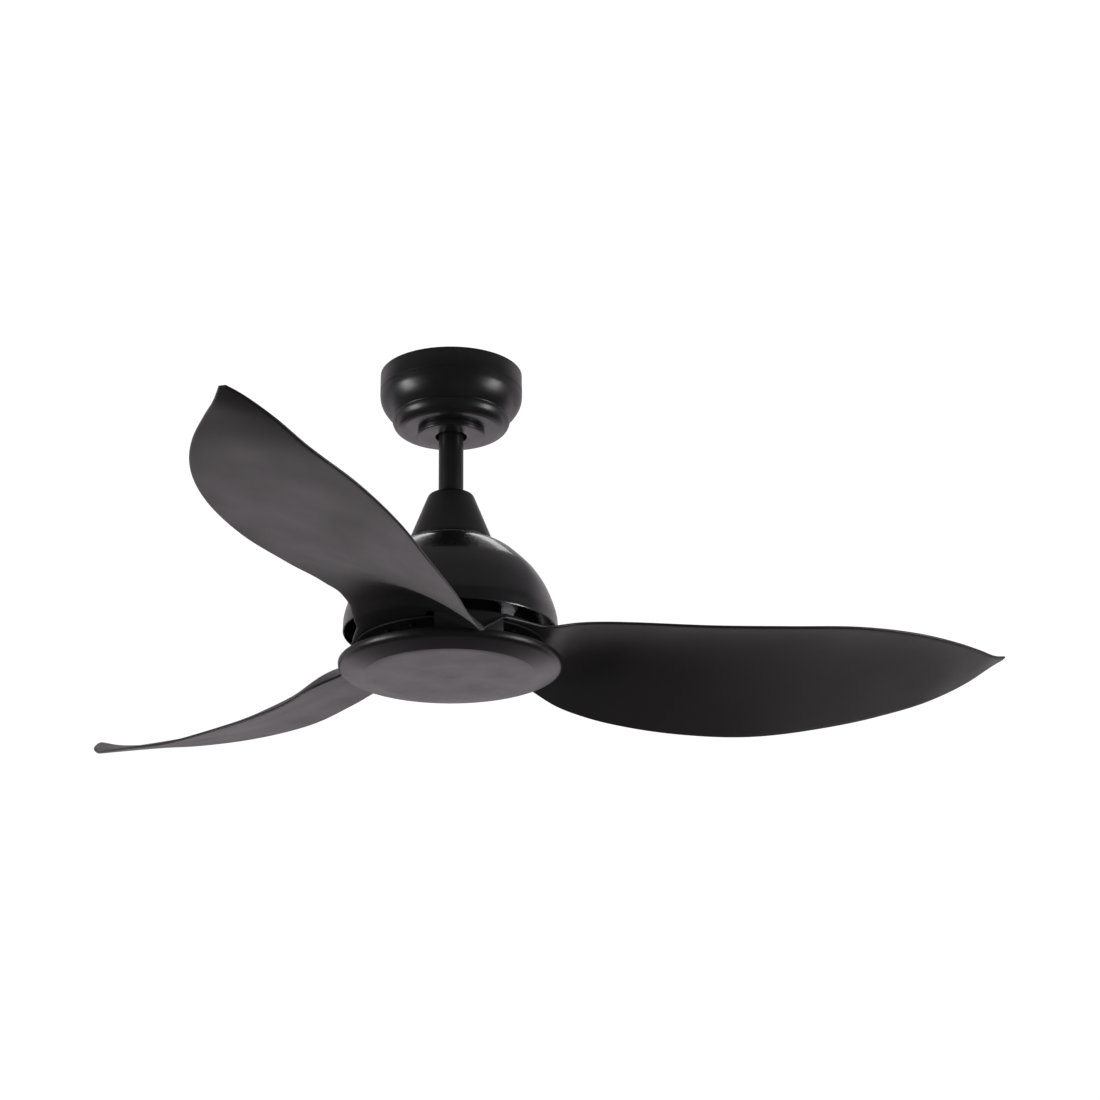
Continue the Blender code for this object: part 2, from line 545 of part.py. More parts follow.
def make_rotor(materials):
    """Turning shell in two halves, its magnets, and the screws round the joint."""
    aluminium = materials["cast_aluminium"]
    bore = BEARING_RADIUS + TOUCH
    boss = bore + 0.003
    inner = ROTOR_RADIUS - ROTOR_WALL
    disc = 0.003
    chamfer = 0.004
    split = ROTOR_SPLIT
    top_half = [(bore, UPPER_BEARING_TOP), (boss, UPPER_BEARING_TOP), (boss, ROTOR_TOP),
                (ROTOR_RADIUS - chamfer, ROTOR_TOP), (ROTOR_RADIUS, ROTOR_TOP - chamfer),
                (ROTOR_RADIUS, split + PLATE), (ROTOR_FLANGE_RADIUS, split + PLATE),
                (ROTOR_FLANGE_RADIUS, split), (inner, split), (inner, ROTOR_TOP - chamfer - 0.001),
                (inner - 0.002, ROTOR_TOP - disc), (bore, ROTOR_TOP - disc)]
    upper = turned("rotor_shell_upper", top_half, aluminium, MOTOR_STEPS)
    low_split = split - TOUCH
    floor = ROTOR_BOTTOM
    boss_bottom = LOWER_BEARING_TOP - BEARING_WIDTH
    low_half = [(inner, low_split), (ROTOR_FLANGE_RADIUS, low_split),
                (ROTOR_FLANGE_RADIUS, low_split - PLATE),
                (ROTOR_RADIUS, low_split - PLATE), (ROTOR_RADIUS, floor + chamfer),
                (ROTOR_RADIUS - chamfer, floor), (boss, floor), (boss, boss_bottom - 0.001),
                (bore, boss_bottom - 0.001), (bore, LOWER_BEARING_TOP), (boss, LOWER_BEARING_TOP),
                (boss, floor + disc), (inner - 0.002, floor + disc), (inner, floor + chamfer + 0.001)]
    lower = turned("rotor_shell_lower", low_half, aluminium, MOTOR_STEPS)
    casing = ring_places(3, CASING_SCREW_CIRCLE, radians(90))
    drill(upper, casing, split - OVERRUN, split + PLATE + OVERRUN)
    drill(lower, casing, low_split - PLATE - OVERRUN, low_split + OVERRUN)
    hub_places = ring_places(3, HUB_SCREW_CIRCLE, radians(90))
    drill(lower, hub_places, floor - OVERRUN, floor + disc + OVERRUN)
    for index, (x, y) in enumerate(casing, start=1):
        item = screw(f"casing_screw_{index}", CASING_SCREW_LENGTH, materials["zinc_steel"])
        item.location = (x, y, split + PLATE + TOUCH)
    ring("magnet_ring", MAGNET_OUTER - MAGNET, MAGNET_OUTER, STATOR_TOP - STATOR_STACK - 0.0005,
         STATOR_TOP + 0.001, materials["ferrite"], MOTOR_STEPS)


def blade_screw_places(blade):
    """The (x, y) places of one blade's screws, blades counted from 0."""
    azimuths = [radians(azimuth) + 2 * pi * blade / BLADE_COUNT for azimuth in BLADE_SCREW_AZIMUTHS]
    return [(BLADE_SCREW_CIRCLE * cos(azimuth), BLADE_SCREW_CIRCLE * sin(azimuth)) for azimuth in azimuths]


def make_hub(materials):
    """Dish under the rotor that carries the blades on its flange."""
    top = ROTOR_BOTTOM - TOUCH
    flange = HUB_FLANGE_TOP
    flange_thickness = 0.0023
    cone_top, cone_bottom = HUB_SCREW_CIRCLE + 0.010, FLANGE_INNER_RADIUS - 0.002
    under = flange - flange_thickness
    profile = [(0.030, top), (cone_top, top), (cone_bottom, flange), (HUB_EDGE, flange), (HUB_EDGE, under),
               (cone_bottom - 0.0025, under), (cone_top - 0.002, top - HUB_DISC), (0.030, top - HUB_DISC)]
    hub = turned("blade_hub", profile, materials["satin_black_paint"], VISIBLE_STEPS)
    places = ring_places(3, HUB_SCREW_CIRCLE, radians(90))
    drill(hub, places, top - HUB_DISC - OVERRUN, top + OVERRUN)
    for index, (x, y) in enumerate(places, start=1):
        item = screw(f"hub_screw_{index}", HUB_SCREW_LENGTH, materials["zinc_steel"])
        item.location = (x, y, top - HUB_DISC - TOUCH)
        item.rotation_euler = (pi, 0, 0)
    for blade in range(BLADE_COUNT):
        places = blade_screw_places(blade)
        drill(hub, places, under - OVERRUN, flange + OVERRUN)
        for index, (x, y) in enumerate(places, start=1):
            item = screw(f"blade_{blade + 1}_screw_{index}", BLADE_SCREW_LENGTH, materials["black_screw"])
            item.location = (x, y, under - TOUCH)
            item.rotation_euler = (pi, 0, 0)


def ring_sector(name, inner, outer, first, last, bottom, top):
    """A piece of a ring between two azimuths in degrees."""
    data = bmesh.new()
    cells = 5
    rows = []
    for cell in range(cells + 1):
        angle = radians(first + (last - first) * cell / cells)
        corners = ((inner, bottom), (outer, bottom), (outer, top), (inner, top))
        rows.append([data.verts.new((r * cos(angle), r * sin(angle), z)) for r, z in corners])
    for start, end in zip(rows, rows[1:]):
        for corner in range(4):
            after = (corner + 1) % 4
            data.faces.new((start[corner], start[after], end[after], end[corner]))
    data.faces.new(rows[0])
    data.faces.new(rows[-1])
    return finish_object(name, data, None)


def make_clamp_ring(materials):
    """Ring over the blade roots, with an apron down each gap between two roots."""
    ring_inner = BLADE_SCREW_CIRCLE - 0.008
    clamp = ring("blade_clamp_ring", ring_inner, HUB_RADIUS, CLAMP_RING_BOTTOM, CLAMP_RING_TOP,
                 materials["satin_black_paint"], VISIBLE_STEPS)
    apron_outer = HUB_RADIUS * cos(pi / VISIBLE_STEPS) - TOUCH
    turn = 360 / BLADE_COUNT
    aprons = [ring_sector("apron", apron_outer - SHELL, apron_outer, APRON_FIRST + turn * index,
                          APRON_LAST + turn * index, APRON_BOTTOM, CLAMP_RING_BOTTOM + 0.001)
              for index in range(BLADE_COUNT)]
    combine(clamp, aprons, "UNION")
    for blade in range(BLADE_COUNT):
        drill(clamp, blade_screw_places(blade), CLAMP_RING_BOTTOM - OVERRUN, CLAMP_RING_TOP + OVERRUN)


# ---------------------------------------------------------------- blades
def section_height(share, across):
    """Height above HUB_Z at a share of the span and a share of the chord, leading edge first."""
    leading = smooth_value(LEADING_EDGE, share, 2)
    trailing = smooth_value(TRAILING_EDGE, share, 2)
    power = smooth_value(CAMBER_POWER, share, 1)
    crown = ROOT_CROWN * max(0.0, 1 - share / 0.3) * sin(pi * across)
    return leading + (trailing - leading) * across**power + crown


def span_row(share):
    """Points across the chord at one radius."""
    radius = BLADE_ROOT_RADIUS + share * (SWEEP_RADIUS - BLADE_ROOT_RADIUS)
    start = smooth_value(LEADING_EDGE, share, 1)
    end = smooth_value(TRAILING_EDGE, share, 1)
    row = []
    for cell in range(CHORD_CELLS + 1):
        across = cell / CHORD_CELLS
        azimuth = radians(start + (end - start) * across)
        row.append((radius * cos(azimuth), radius * sin(azimuth), HUB_Z + section_height(share, across)))
    return row


def root_columns():
    """Root columns by azimuth, each a run of points from the flange or collar out to the blade."""
    columns = []
    for azimuth, inner, outer, height in COLLAR:
        columns.append((azimuth, HUB_RADIUS + inner, HUB_RADIUS + outer, height, height))
    seat = BLADE_SEAT_Z - HUB_Z
    for azimuth, outer in COLLAR_FLANGE:
        columns.append((azimuth, FLANGE_INNER_RADIUS, HUB_RADIUS + outer, seat, seat + 0.0012))
    start, end = LEADING_EDGE[0][1], TRAILING_EDGE[0][1]
    gap = BLADE_ROOT_RADIUS - HUB_RADIUS
    for cell in range(CHORD_CELLS + 1):
        across = cell / CHORD_CELLS
        azimuth = start + (end - start) * across
        outer_height = section_height(0.0, across)
        if azimuth < FLANGE_LAST_AZIMUTH:
            inner_radius, inner_height = FLANGE_INNER_RADIUS, seat
        else:
            late = (azimuth - FLANGE_LAST_AZIMUTH) / (end - FLANGE_LAST_AZIMUTH)
            inner_radius = HUB_RADIUS + ROOT_CLEARANCE + (gap - 2 * ROOT_CLEARANCE) * sqrt(late)
            inner_height = min(seat, outer_height)
        columns.append((azimuth, inner_radius, BLADE_ROOT_RADIUS, inner_height, outer_height))
    return columns


def column_points(column):
    """Points of one root column: level over the hub's flange, then a smooth run to the blade."""
    azimuth, inner, outer, inner_height, outer_height = column
    angle = radians(azimuth)
    if inner < HUB_RADIUS:
        radii = (inner, HUB_RADIUS, (HUB_RADIUS + outer) / 2, outer)
    else:
        radii = [inner + (outer - inner) * row / 3 for row in range(4)]
    start = max(inner, HUB_RADIUS)
    points = []
    for radius in radii:
        rise = max(0.0, (radius - start) / (outer - start))
        height = inner_height + (outer_height - inner_height) * rise
        points.append((radius * cos(angle), radius * sin(angle), HUB_Z + height))
    return points


def make_blades(materials):
    """Blade sheet as two grids that share the root section, thickened upward, then copied round."""
    data = bmesh.new()
    root = [[data.verts.new(point) for point in column_points(column)] for column in root_columns()]
    for first, second in zip(root, root[1:]):
        for row in range(len(first) - 1):
            data.faces.new((first[row], first[row + 1], second[row + 1], second[row]))
    previous = [column[-1] for column in root[-(CHORD_CELLS + 1):]]
    for share in SPAN_SHARES:
        row = [data.verts.new(point) for point in span_row(share)]
        for cell in range(CHORD_CELLS):
            data.faces.new((previous[cell], row[cell], row[cell + 1], previous[cell + 1]))
        previous = row
    thick = bmesh.ops.extrude_face_region(data, geom=data.faces[:])
    raised = [item for item in thick["geom"] if isinstance(item, bmesh.types.BMVert)]
    bmesh.ops.translate(data, vec=(0, 0, BLADE_THICKNESS), verts=raised)
    blade = finish_object("blade_1", data, materials["matte_black_plastic"])
    drill(blade, blade_screw_places(0), BLADE_SEAT_Z - OVERRUN, BLADE_SEAT_Z + BLADE_THICKNESS + OVERRUN)
    for index in range(1, BLADE_COUNT):
        copy = bpy.data.objects.new(f"blade_{index + 1}", blade.data)
        copy.rotation_euler = (0, 0, 2 * pi * index / BLADE_COUNT)
        bpy.context.collection.objects.link(copy)


# ---------------------------------------------------------------- underside
LUG_AZIMUTHS = [radians(5) + 2 * pi * index / 3 for index in range(3)]
LUG_HALF_WIDTH = 0.007
LUG_DEPTH = 0.007


def tangent_block(name, azimuth, inner, outer, half_width, bottom, top):
    """A box laid along a radius at an azimuth."""
    item = block(name, (inner, -half_width, bottom), (outer, half_width, top))
    item.rotation_euler = (0, 0, azimuth)
    return item


def make_light_plate(materials):
    """Carrier that a lamp would mount on: plate, its two nuts, lamp connector and blank cover."""
    steel = materials["zinc_steel"]
    bore = SHAFT_RADIUS + TOUCH
    top, rim = LIGHT_PLATE_TOP, LIGHT_PLATE_RIM_TOP
    thickness = 0.002
    edge = COVER_RADIUS - SHELL - 0.0012
    profile = [(bore, top), (0.044, top), (0.060, rim), (edge, rim), (edge, rim - thickness),
               (0.059, rim - thickness), (0.0433, top - thickness), (bore, top - thickness)]
    plate = turned("light_plate", profile, steel, VISIBLE_STEPS)
    notches = [tangent_block("notch", azimuth + radians(20), edge - LUG_DEPTH, edge + 0.01,
                             LUG_HALF_WIDTH + 0.001, rim - 0.005, rim + 0.003) for azimuth in LUG_AZIMUTHS]
    combine(plate, notches, "DIFFERENCE")
    corner, flat = 0.0145, 0.0145 * cos(pi / 6)
    hexagon = [(pi * index / 6, flat if index % 2 else corner) for index in range(12)]
    nut, nut_bore = 0.0055, bore / cos(pi / 12)
    toothed_ring("plate_nut_upper", hexagon, nut_bore, top + TOUCH, top + TOUCH + nut, steel)
    under = top - thickness - TOUCH
    toothed_ring("plate_nut_lower", hexagon, nut_bore, under - nut, under, steel)
    plug_top = rim - thickness - TOUCH
    block("lamp_connector", (0.074, -0.009, plug_top - 0.006), (0.086, 0.009, plug_top), materials["nylon"])


def make_bottom_cover(materials):
    """Blank cover: rim, shallow slope and flat face, with three lugs over the light plate."""
    face = COVER_RADIUS - 0.0266
    shoulder = 0.0038
    outer = [(COVER_RADIUS, COVER_TOP), (COVER_RADIUS - 0.0003, COVER_TOP - 0.0035),
             (COVER_RADIUS - 0.0012, COVER_TOP - 0.0062), (COVER_RADIUS - shoulder, COVER_TOP - 0.0086),
             (face, COVER_BOTTOM), (0.0, COVER_BOTTOM)]
    inner = [(0.0, COVER_BOTTOM + SHELL), (face, COVER_BOTTOM + SHELL),
             (COVER_RADIUS - shoulder - 0.0008, COVER_TOP - 0.0071),
             (COVER_RADIUS - SHELL, COVER_TOP - 0.0035), (COVER_RADIUS - SHELL, COVER_TOP)]
    cover = turned("bottom_cover", inner + outer, materials["satin_black_paint"], VISIBLE_STEPS, closed=False)
    edge = COVER_RADIUS - SHELL - 0.0012
    low = LIGHT_PLATE_RIM_TOP + TOUCH
    lugs = [tangent_block("lug", azimuth, edge - LUG_DEPTH + 0.0012, COVER_RADIUS - SHELL / 2,
                          LUG_HALF_WIDTH, low, low + 0.0015) for azimuth in LUG_AZIMUTHS]
    combine(cover, lugs, "UNION")


def main():
    for item in list(bpy.data.objects):
        bpy.data.objects.remove(item)
    materials = make_materials()
    make_bracket(materials)
    make_canopy(materials)
    make_electrics(materials)
    make_ball(materials)
    make_rod(materials)
    make_yoke(materials)
    make_coupling_cover(materials)
    make_dome(materials)
    make_bearing("upper", UPPER_BEARING_TOP, materials)
    make_bearing("lower", LOWER_BEARING_TOP, materials)
    make_stator(materials)
    make_rotor(materials)
    make_hub(materials)
    make_clamp_ring(materials)
    make_blades(materials)
    make_light_plate(materials)
    make_bottom_cover(materials)


main()
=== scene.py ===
"""Looks of the ceiling fan: fine turned covers, rounded blades, detailed fasteners, materials."""

import json
from math import atan2, cos, pi, radians, sin, sqrt

import bmesh
import bpy
import numpy as np
from mathutils import Matrix, Vector
from mathutils.kdtree import KDTree


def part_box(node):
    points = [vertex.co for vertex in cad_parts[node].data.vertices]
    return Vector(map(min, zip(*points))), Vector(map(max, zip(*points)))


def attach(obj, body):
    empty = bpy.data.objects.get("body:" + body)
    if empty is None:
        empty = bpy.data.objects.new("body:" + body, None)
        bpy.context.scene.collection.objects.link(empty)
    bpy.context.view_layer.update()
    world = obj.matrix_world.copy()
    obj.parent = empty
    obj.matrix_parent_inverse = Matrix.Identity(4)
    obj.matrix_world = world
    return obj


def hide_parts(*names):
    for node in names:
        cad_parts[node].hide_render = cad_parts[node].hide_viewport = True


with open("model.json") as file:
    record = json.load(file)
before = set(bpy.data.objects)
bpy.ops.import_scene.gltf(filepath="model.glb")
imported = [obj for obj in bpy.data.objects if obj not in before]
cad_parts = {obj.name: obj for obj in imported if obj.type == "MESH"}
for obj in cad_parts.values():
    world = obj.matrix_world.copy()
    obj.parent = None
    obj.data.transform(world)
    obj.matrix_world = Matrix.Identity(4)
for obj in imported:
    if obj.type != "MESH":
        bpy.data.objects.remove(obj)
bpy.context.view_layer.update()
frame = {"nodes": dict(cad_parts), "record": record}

# ---------------------------------------------------------------- camera
CAMERA_PLACE = Vector((0.0579, -2.608, -1.178))
CAMERA_YAW = 0.0172
CAMERA_PITCH = 0.3593
CAMERA_ROLL = -0.0107
CAMERA_LENS = 88.0


def make_camera():
    """A long lens well below the fan, looking up at it."""
    data = bpy.data.cameras.new("camera")
    data.lens = CAMERA_LENS
    data.sensor_width = 36.0
    camera = bpy.data.objects.new("camera", data)
    bpy.context.scene.collection.objects.link(camera)
    forward = Vector((sin(CAMERA_YAW) * cos(CAMERA_PITCH), cos(CAMERA_YAW) * cos(CAMERA_PITCH),
                      sin(CAMERA_PITCH)))
    level = Vector((cos(CAMERA_YAW), -sin(CAMERA_YAW), 0.0))
    upright = level.cross(forward)
    right = cos(CAMERA_ROLL) * level + sin(CAMERA_ROLL) * upright
    up = cos(CAMERA_ROLL) * upright - sin(CAMERA_ROLL) * level
    turn = Matrix((right, up, -forward)).transposed().to_4x4()
    camera.matrix_world = Matrix.Translation(CAMERA_PLACE) @ turn
    bpy.context.scene.camera = camera


make_camera()


# ---------------------------------------------------------------- stage
FLOOR_Z = -4.6
LIT_FLOOR = 1.0
LIT_FROM, LIT_FULL = 5.0, 8.5


def make_floor():
    """Plain floor far below: pale to the eye, and its bounce is strong behind the fan and weak in front."""
    data = bmesh.new()
    bmesh.ops.create_circle(data, cap_ends=True, segments=96, radius=30.0)
    mesh = bpy.data.meshes.new("floor")
    data.to_mesh(mesh)
    data.free()
    floor = bpy.data.objects.new("floor", mesh)
    floor.location = (0, 0, FLOOR_Z)
    bpy.context.scene.collection.objects.link(floor)
    material = bpy.data.materials.new("floor")
    material.use_nodes = True
    shader = material.node_tree.nodes["Principled BSDF"]
    shader.inputs["Base Color"].default_value = (0.32, 0.31, 0.315, 1.0)
    shader.inputs["Roughness"].default_value = 0.9
    shader.inputs["Emission Color"].default_value = (1.0, 0.91, 0.965, 1.0)
    nodes, links = material.node_tree.nodes, material.node_tree.links
    place = nodes.new("ShaderNodeTexCoord")
    split = nodes.new("ShaderNodeSeparateXYZ")
    links.new(place.outputs["Object"], split.inputs["Vector"])
    lit = nodes.new("ShaderNodeMapRange")
    lit.interpolation_type = "SMOOTHSTEP"
    links.new(split.outputs["Y"], lit.inputs["Value"])
    lit.inputs["From Min"].default_value = LIT_FROM
    lit.inputs["From Max"].default_value = LIT_FULL
    lit.inputs["To Max"].default_value = LIT_FLOOR
    links.new(lit.outputs["Result"], shader.inputs["Emission Strength"])
    pale = nodes.new("ShaderNodeEmission")
    pale.inputs["Color"].default_value = (0.86, 0.86, 0.87, 1.0)
    path = nodes.new("ShaderNodeLightPath")
    mix = nodes.new("ShaderNodeMixShader")
    links.new(path.outputs["Is Camera Ray"], mix.inputs["Fac"])
    links.new(shader.outputs["BSDF"], mix.inputs[1])
    links.new(pale.outputs["Emission"], mix.inputs[2])
    links.new(mix.outputs["Shader"], nodes["Material Output"].inputs["Surface"])
    mesh.materials.append(material)


def add_softbox(name, place, aim, size, power, tint=(1.0, 1.0, 1.0)):
    """One rectangular softbox aimed at a point."""
    data = bpy.data.lights.new(name, "AREA")
    data.shape = "RECTANGLE"
    data.size, data.size_y = size
    data.energy = power
    data.color = tint
    lamp = bpy.data.objects.new(name, data)
    lamp.location = place
    lamp.rotation_euler = (Vector(aim) - Vector(place)).to_track_quat("-Z", "Y").to_euler()
    bpy.context.scene.collection.objects.link(lamp)


FRONT_LIGHT, BACK_LIGHT, OVERHEAD_LIGHT = 0.10, 0.48, 0.20


def make_world():
    """Bright backdrop behind and below; dim in front and overhead, so that black stays black."""
    world = bpy.data.worlds.new("studio")
    bpy.context.scene.world = world
    world.use_nodes = True
    nodes, links = world.node_tree.nodes, world.node_tree.links
    nodes.clear()
    place = nodes.new("ShaderNodeTexCoord")
    split = nodes.new("ShaderNodeSeparateXYZ")
    links.new(place.outputs["Generated"], split.inputs["Vector"])

    def ramp(axis, start, end, low, high):
        node = nodes.new("ShaderNodeMapRange")
        node.interpolation_type = "SMOOTHSTEP"
        links.new(split.outputs[axis], node.inputs["Value"])
        for name, value in (("From Min", start), ("From Max", end), ("To Min", low), ("To Max", high)):
            node.inputs[name].default_value = value
        return node.outputs["Result"]

    behind = ramp("Y", 0.05, 0.55, FRONT_LIGHT, BACK_LIGHT)
    strength = nodes.new("ShaderNodeMix")
    links.new(ramp("Z", 0.50, 0.66, 0.0, 1.0), strength.inputs["Factor"])
    links.new(behind, strength.inputs["A"])
    strength.inputs["B"].default_value = OVERHEAD_LIGHT
    surround = nodes.new("ShaderNodeBackground")
    surround.inputs["Color"].default_value = (1.0, 0.94, 0.98, 1.0)
    links.new(strength.outputs["Result"], surround.inputs["Strength"])
    plain = nodes.new("ShaderNodeBackground")
    plain.inputs["Color"].default_value = (1.0, 1.0, 1.0, 1.0)
    plain.inputs["Strength"].default_value = 1.05
    path = nodes.new("ShaderNodeLightPath")
    mix = nodes.new("ShaderNodeMixShader")
    links.new(path.outputs["Is Camera Ray"], mix.inputs["Fac"])
    links.new(surround.outputs["Background"], mix.inputs[1])
    links.new(plain.outputs["Background"], mix.inputs[2])
    out = nodes.new("ShaderNodeOutputWorld")
    links.new(mix.outputs["Shader"], out.inputs["Surface"])


make_floor()
make_world()
add_softbox("softbox_left", (-2.9, -0.85, -0.75), (0, 0, -0.2), (0.9, 1.7), 52.0)
add_softbox("softbox_right", (2.9, -0.85, -0.75), (0, 0, -0.2), (0.9, 1.7), 46.0)
add_softbox("softbox_above", (0, 2.6, 2.9), (0, 0, -0.2), (2.6, 0.8), 13.0)
bpy.context.scene.view_settings.view_transform = "Standard"


# ---------------------------------------------------------------- materials
class Surface:
    """Builds one procedural Principled material step by step."""

    def __init__(self, name, colour, roughness, metallic=0.0):
        self.material = bpy.data.materials.new(name)
        self.material.use_nodes = True
        self.nodes = self.material.node_tree.nodes
        self.links = self.material.node_tree.links
        self.shader = self.nodes["Principled BSDF"]
        self.shader.inputs["Metallic"].default_value = metallic
        self.shader.inputs["Base Color"].default_value = (*colour, 1.0)
        self.shader.inputs["Roughness"].default_value = roughness
        self.colour = colour
        self.roughness = roughness
        self.height = None
        place = self.nodes.new("ShaderNodeTexCoord")
        self.place = place.outputs["Object"]

    def noise(self, scale, detail=3.0, stretch=(1.0, 1.0, 1.0)):
        """Noise over the object, scale in cycles per metre."""
        mapping = self.nodes.new("ShaderNodeMapping")
        mapping.inputs["Scale"].default_value = stretch
        self.links.new(self.place, mapping.inputs["Vector"])
        texture = self.nodes.new("ShaderNodeTexNoise")
        texture.inputs["Scale"].default_value = scale
        texture.inputs["Detail"].default_value = detail
        self.links.new(mapping.outputs["Vector"], texture.inputs["Vector"])
        return texture.outputs["Fac"]

    def spread(self, value, low, high, from_low=0.3, from_high=0.7):
        """Map a 0 to 1 value onto a range."""
        node = self.nodes.new("ShaderNodeMapRange")
        self.links.new(value, node.inputs["Value"])
        limits = {"From Min": from_low, "From Max": from_high, "To Min": low, "To Max": high}
        for name, number in limits.items():
            node.inputs[name].default_value = number
        return node.outputs["Result"]

    def mottle(self, scale, amount, stretch=(1.0, 1.0, 1.0)):
        """Uneven gloss: roughness varies by amount either way."""
        gloss = self.noise(scale, 4.0, stretch)
        value = self.spread(gloss, self.roughness - amount, self.roughness + amount)
        self.links.new(value, self.shader.inputs["Roughness"])

    def tone(self, scale, second, share=1.0, stretch=(1.0, 1.0, 1.0)):
        """Uneven colour: blends towards a second colour."""
        mix = self.nodes.new("ShaderNodeMix")
        mix.data_type = "RGBA"
        mix.inputs[6].default_value = (*self.colour, 1.0)
        mix.inputs[7].default_value = (*second, 1.0)
        value = self.spread(self.noise(scale, 5.0, stretch), 0.0, share, 0.42, 0.72)
        self.links.new(value, mix.inputs[0])
        self.base = mix
        self.links.new(mix.outputs[2], self.shader.inputs["Base Color"])

    def wear(self, worn, start=0.53, full=0.62):
        """Rubbed, lighter edges."""
        shape = self.nodes.new("ShaderNodeNewGeometry")
        edge = self.spread(shape.outputs["Pointiness"], 0.0, 0.6, start, full)
        broken = self.nodes.new("ShaderNodeMath")
        broken.operation = "MULTIPLY"
        self.links.new(edge, broken.inputs[0])
        self.links.new(self.spread(self.noise(160.0, 6.0), 0.0, 1.0, 0.45, 0.6), broken.inputs[1])
        mix = self.nodes.new("ShaderNodeMix")
        mix.data_type = "RGBA"
        self.links.new(broken.outputs[0], mix.inputs[0])
        self.links.new(self.base.outputs[2], mix.inputs[6])
        mix.inputs[7].default_value = (*worn, 1.0)
        self.links.new(mix.outputs[2], self.shader.inputs["Base Color"])

    def relief(self, value, depth, strength=1.0):
        """Add a bump layer, depth in metres."""
        bump = self.nodes.new("ShaderNodeBump")
        bump.inputs["Strength"].default_value = strength
        bump.inputs["Distance"].default_value = depth
        self.links.new(value, bump.inputs["Height"])
        if self.height is not None:
            self.links.new(self.height, bump.inputs["Normal"])
        self.height = bump.outputs["Normal"]
        self.links.new(self.height, self.shader.inputs["Normal"])


def satin_paint():
    """Sprayed satin black: faint orange peel, fine texture, uneven gloss."""
    surface = Surface("satin_black_paint", (0.0095, 0.0095, 0.0105), 0.34)
    surface.shader.inputs["Specular IOR Level"].default_value = 0.40
    surface.shader.inputs["Coat Weight"].default_value = 0.15
    surface.shader.inputs["Coat Roughness"].default_value = 0.25
    surface.tone(22.0, (0.0145, 0.0145, 0.0155))
    surface.wear((0.05, 0.05, 0.052))
    surface.mottle(35.0, 0.045)
    surface.relief(surface.noise(420.0, 2.0), 0.00002, 0.5)
    surface.relief(surface.noise(2600.0, 3.0), 0.000012, 0.6)
    return surface.material


def gloss_paint():
    """Glossy black dome: smoother paint under a clear coat."""
    surface = Surface("gloss_black_paint", (0.0065, 0.0065, 0.0073), 0.28)
    surface.shader.inputs["Coat Weight"].default_value = 0.5
    surface.shader.inputs["Coat Roughness"].default_value = 0.09
    surface.tone(18.0, (0.0100, 0.0100, 0.0108))
    surface.wear((0.05, 0.05, 0.052))
    surface.mottle(28.0, 0.035)
    surface.relief(surface.noise(260.0, 2.0), 0.000008, 0.4)
    surface.relief(surface.noise(1900.0, 2.0), 0.000002, 0.3)
    return surface.material


def cover_paint():
    """The blank cover's paint, with the faint turned marks of its pressed face."""
    surface = Surface("cover_satin_paint", (0.0085, 0.0080, 0.0084), 0.34)
    surface.shader.inputs["Specular IOR Level"].default_value = 0.37
    surface.tone(16.0, (0.0125, 0.0115, 0.0122))
    surface.wear((0.05, 0.05, 0.052))
    surface.mottle(26.0, 0.04)
    split = surface.nodes.new("ShaderNodeSeparateXYZ")
    surface.links.new(surface.place, split.inputs["Vector"])
    flat = surface.nodes.new("ShaderNodeCombineXYZ")
    surface.links.new(split.outputs["X"], flat.inputs["X"])
    surface.links.new(split.outputs["Y"], flat.inputs["Y"])
    rings = surface.nodes.new("ShaderNodeTexWave")
    rings.wave_type = "RINGS"
    rings.rings_direction = "SPHERICAL"
    rings.inputs["Scale"].default_value = 90.0
    rings.inputs["Distortion"].default_value = 1.2
    surface.links.new(flat.outputs["Vector"], rings.inputs["Vector"])
    surface.relief(rings.outputs["Fac"], 0.000012, 0.12)
    surface.relief(surface.noise(2400.0, 3.0), 0.000012, 0.6)
    return surface.material


def shade_darkened_black():
    """Black paint made darker than the satin paint, as painted shade on the pieces in the gap above the
    cover.
    """
    surface = Surface("black_darkened_as_shade", (0.0035, 0.0035, 0.0040), 0.62)
    surface.shader.inputs["Specular IOR Level"].default_value = 0.2
    surface.tone(30.0, (0.006, 0.006, 0.006))
    surface.wear((0.03, 0.03, 0.031))
    surface.mottle(40.0, 0.06)
    surface.relief(surface.noise(700.0, 3.0), 0.00003, 0.5)
    return surface.material


def moulded_plastic():
    """Matte black moulded blade: spark-eroded grain, faint flow marks, a trace of dust."""
    surface = Surface("matte_black_plastic", (0.0110, 0.0101, 0.0106), 0.45)
    surface.shader.inputs["Specular IOR Level"].default_value = 0.60
    surface.tone(7.0, (0.0165, 0.0150, 0.0158), 0.8, (1.0, 1.0, 2.5))
    surface.wear((0.045, 0.043, 0.045))
    surface.mottle(14.0, 0.045, (1.0, 1.0, 3.0))
    surface.relief(surface.noise(90.0, 2.0), 0.00003, 0.25)
    surface.relief(surface.noise(3400.0, 4.0), 0.000022, 0.7)
    return surface.material


def plain_metal(name, colour, second, roughness, grain, depth, stretch=(1.0, 1.0, 1.0)):
    """Bare metal with directional or cast grain."""
    surface = Surface(name, colour, roughness, 1.0)
    surface.tone(60.0, second)
    surface.mottle(grain / 6, 0.08, stretch)
    surface.relief(surface.noise(grain, 4.0, stretch), depth, 0.6)
    return surface.material


def plain_plastic(name, colour, second, roughness):
    """Small moulded plastic pieces."""
    surface = Surface(name, colour, roughness)
    surface.tone(45.0, second)
    surface.mottle(80.0, 0.05)
    surface.relief(surface.noise(1800.0, 3.0), 0.00001, 0.5)
    return surface.material


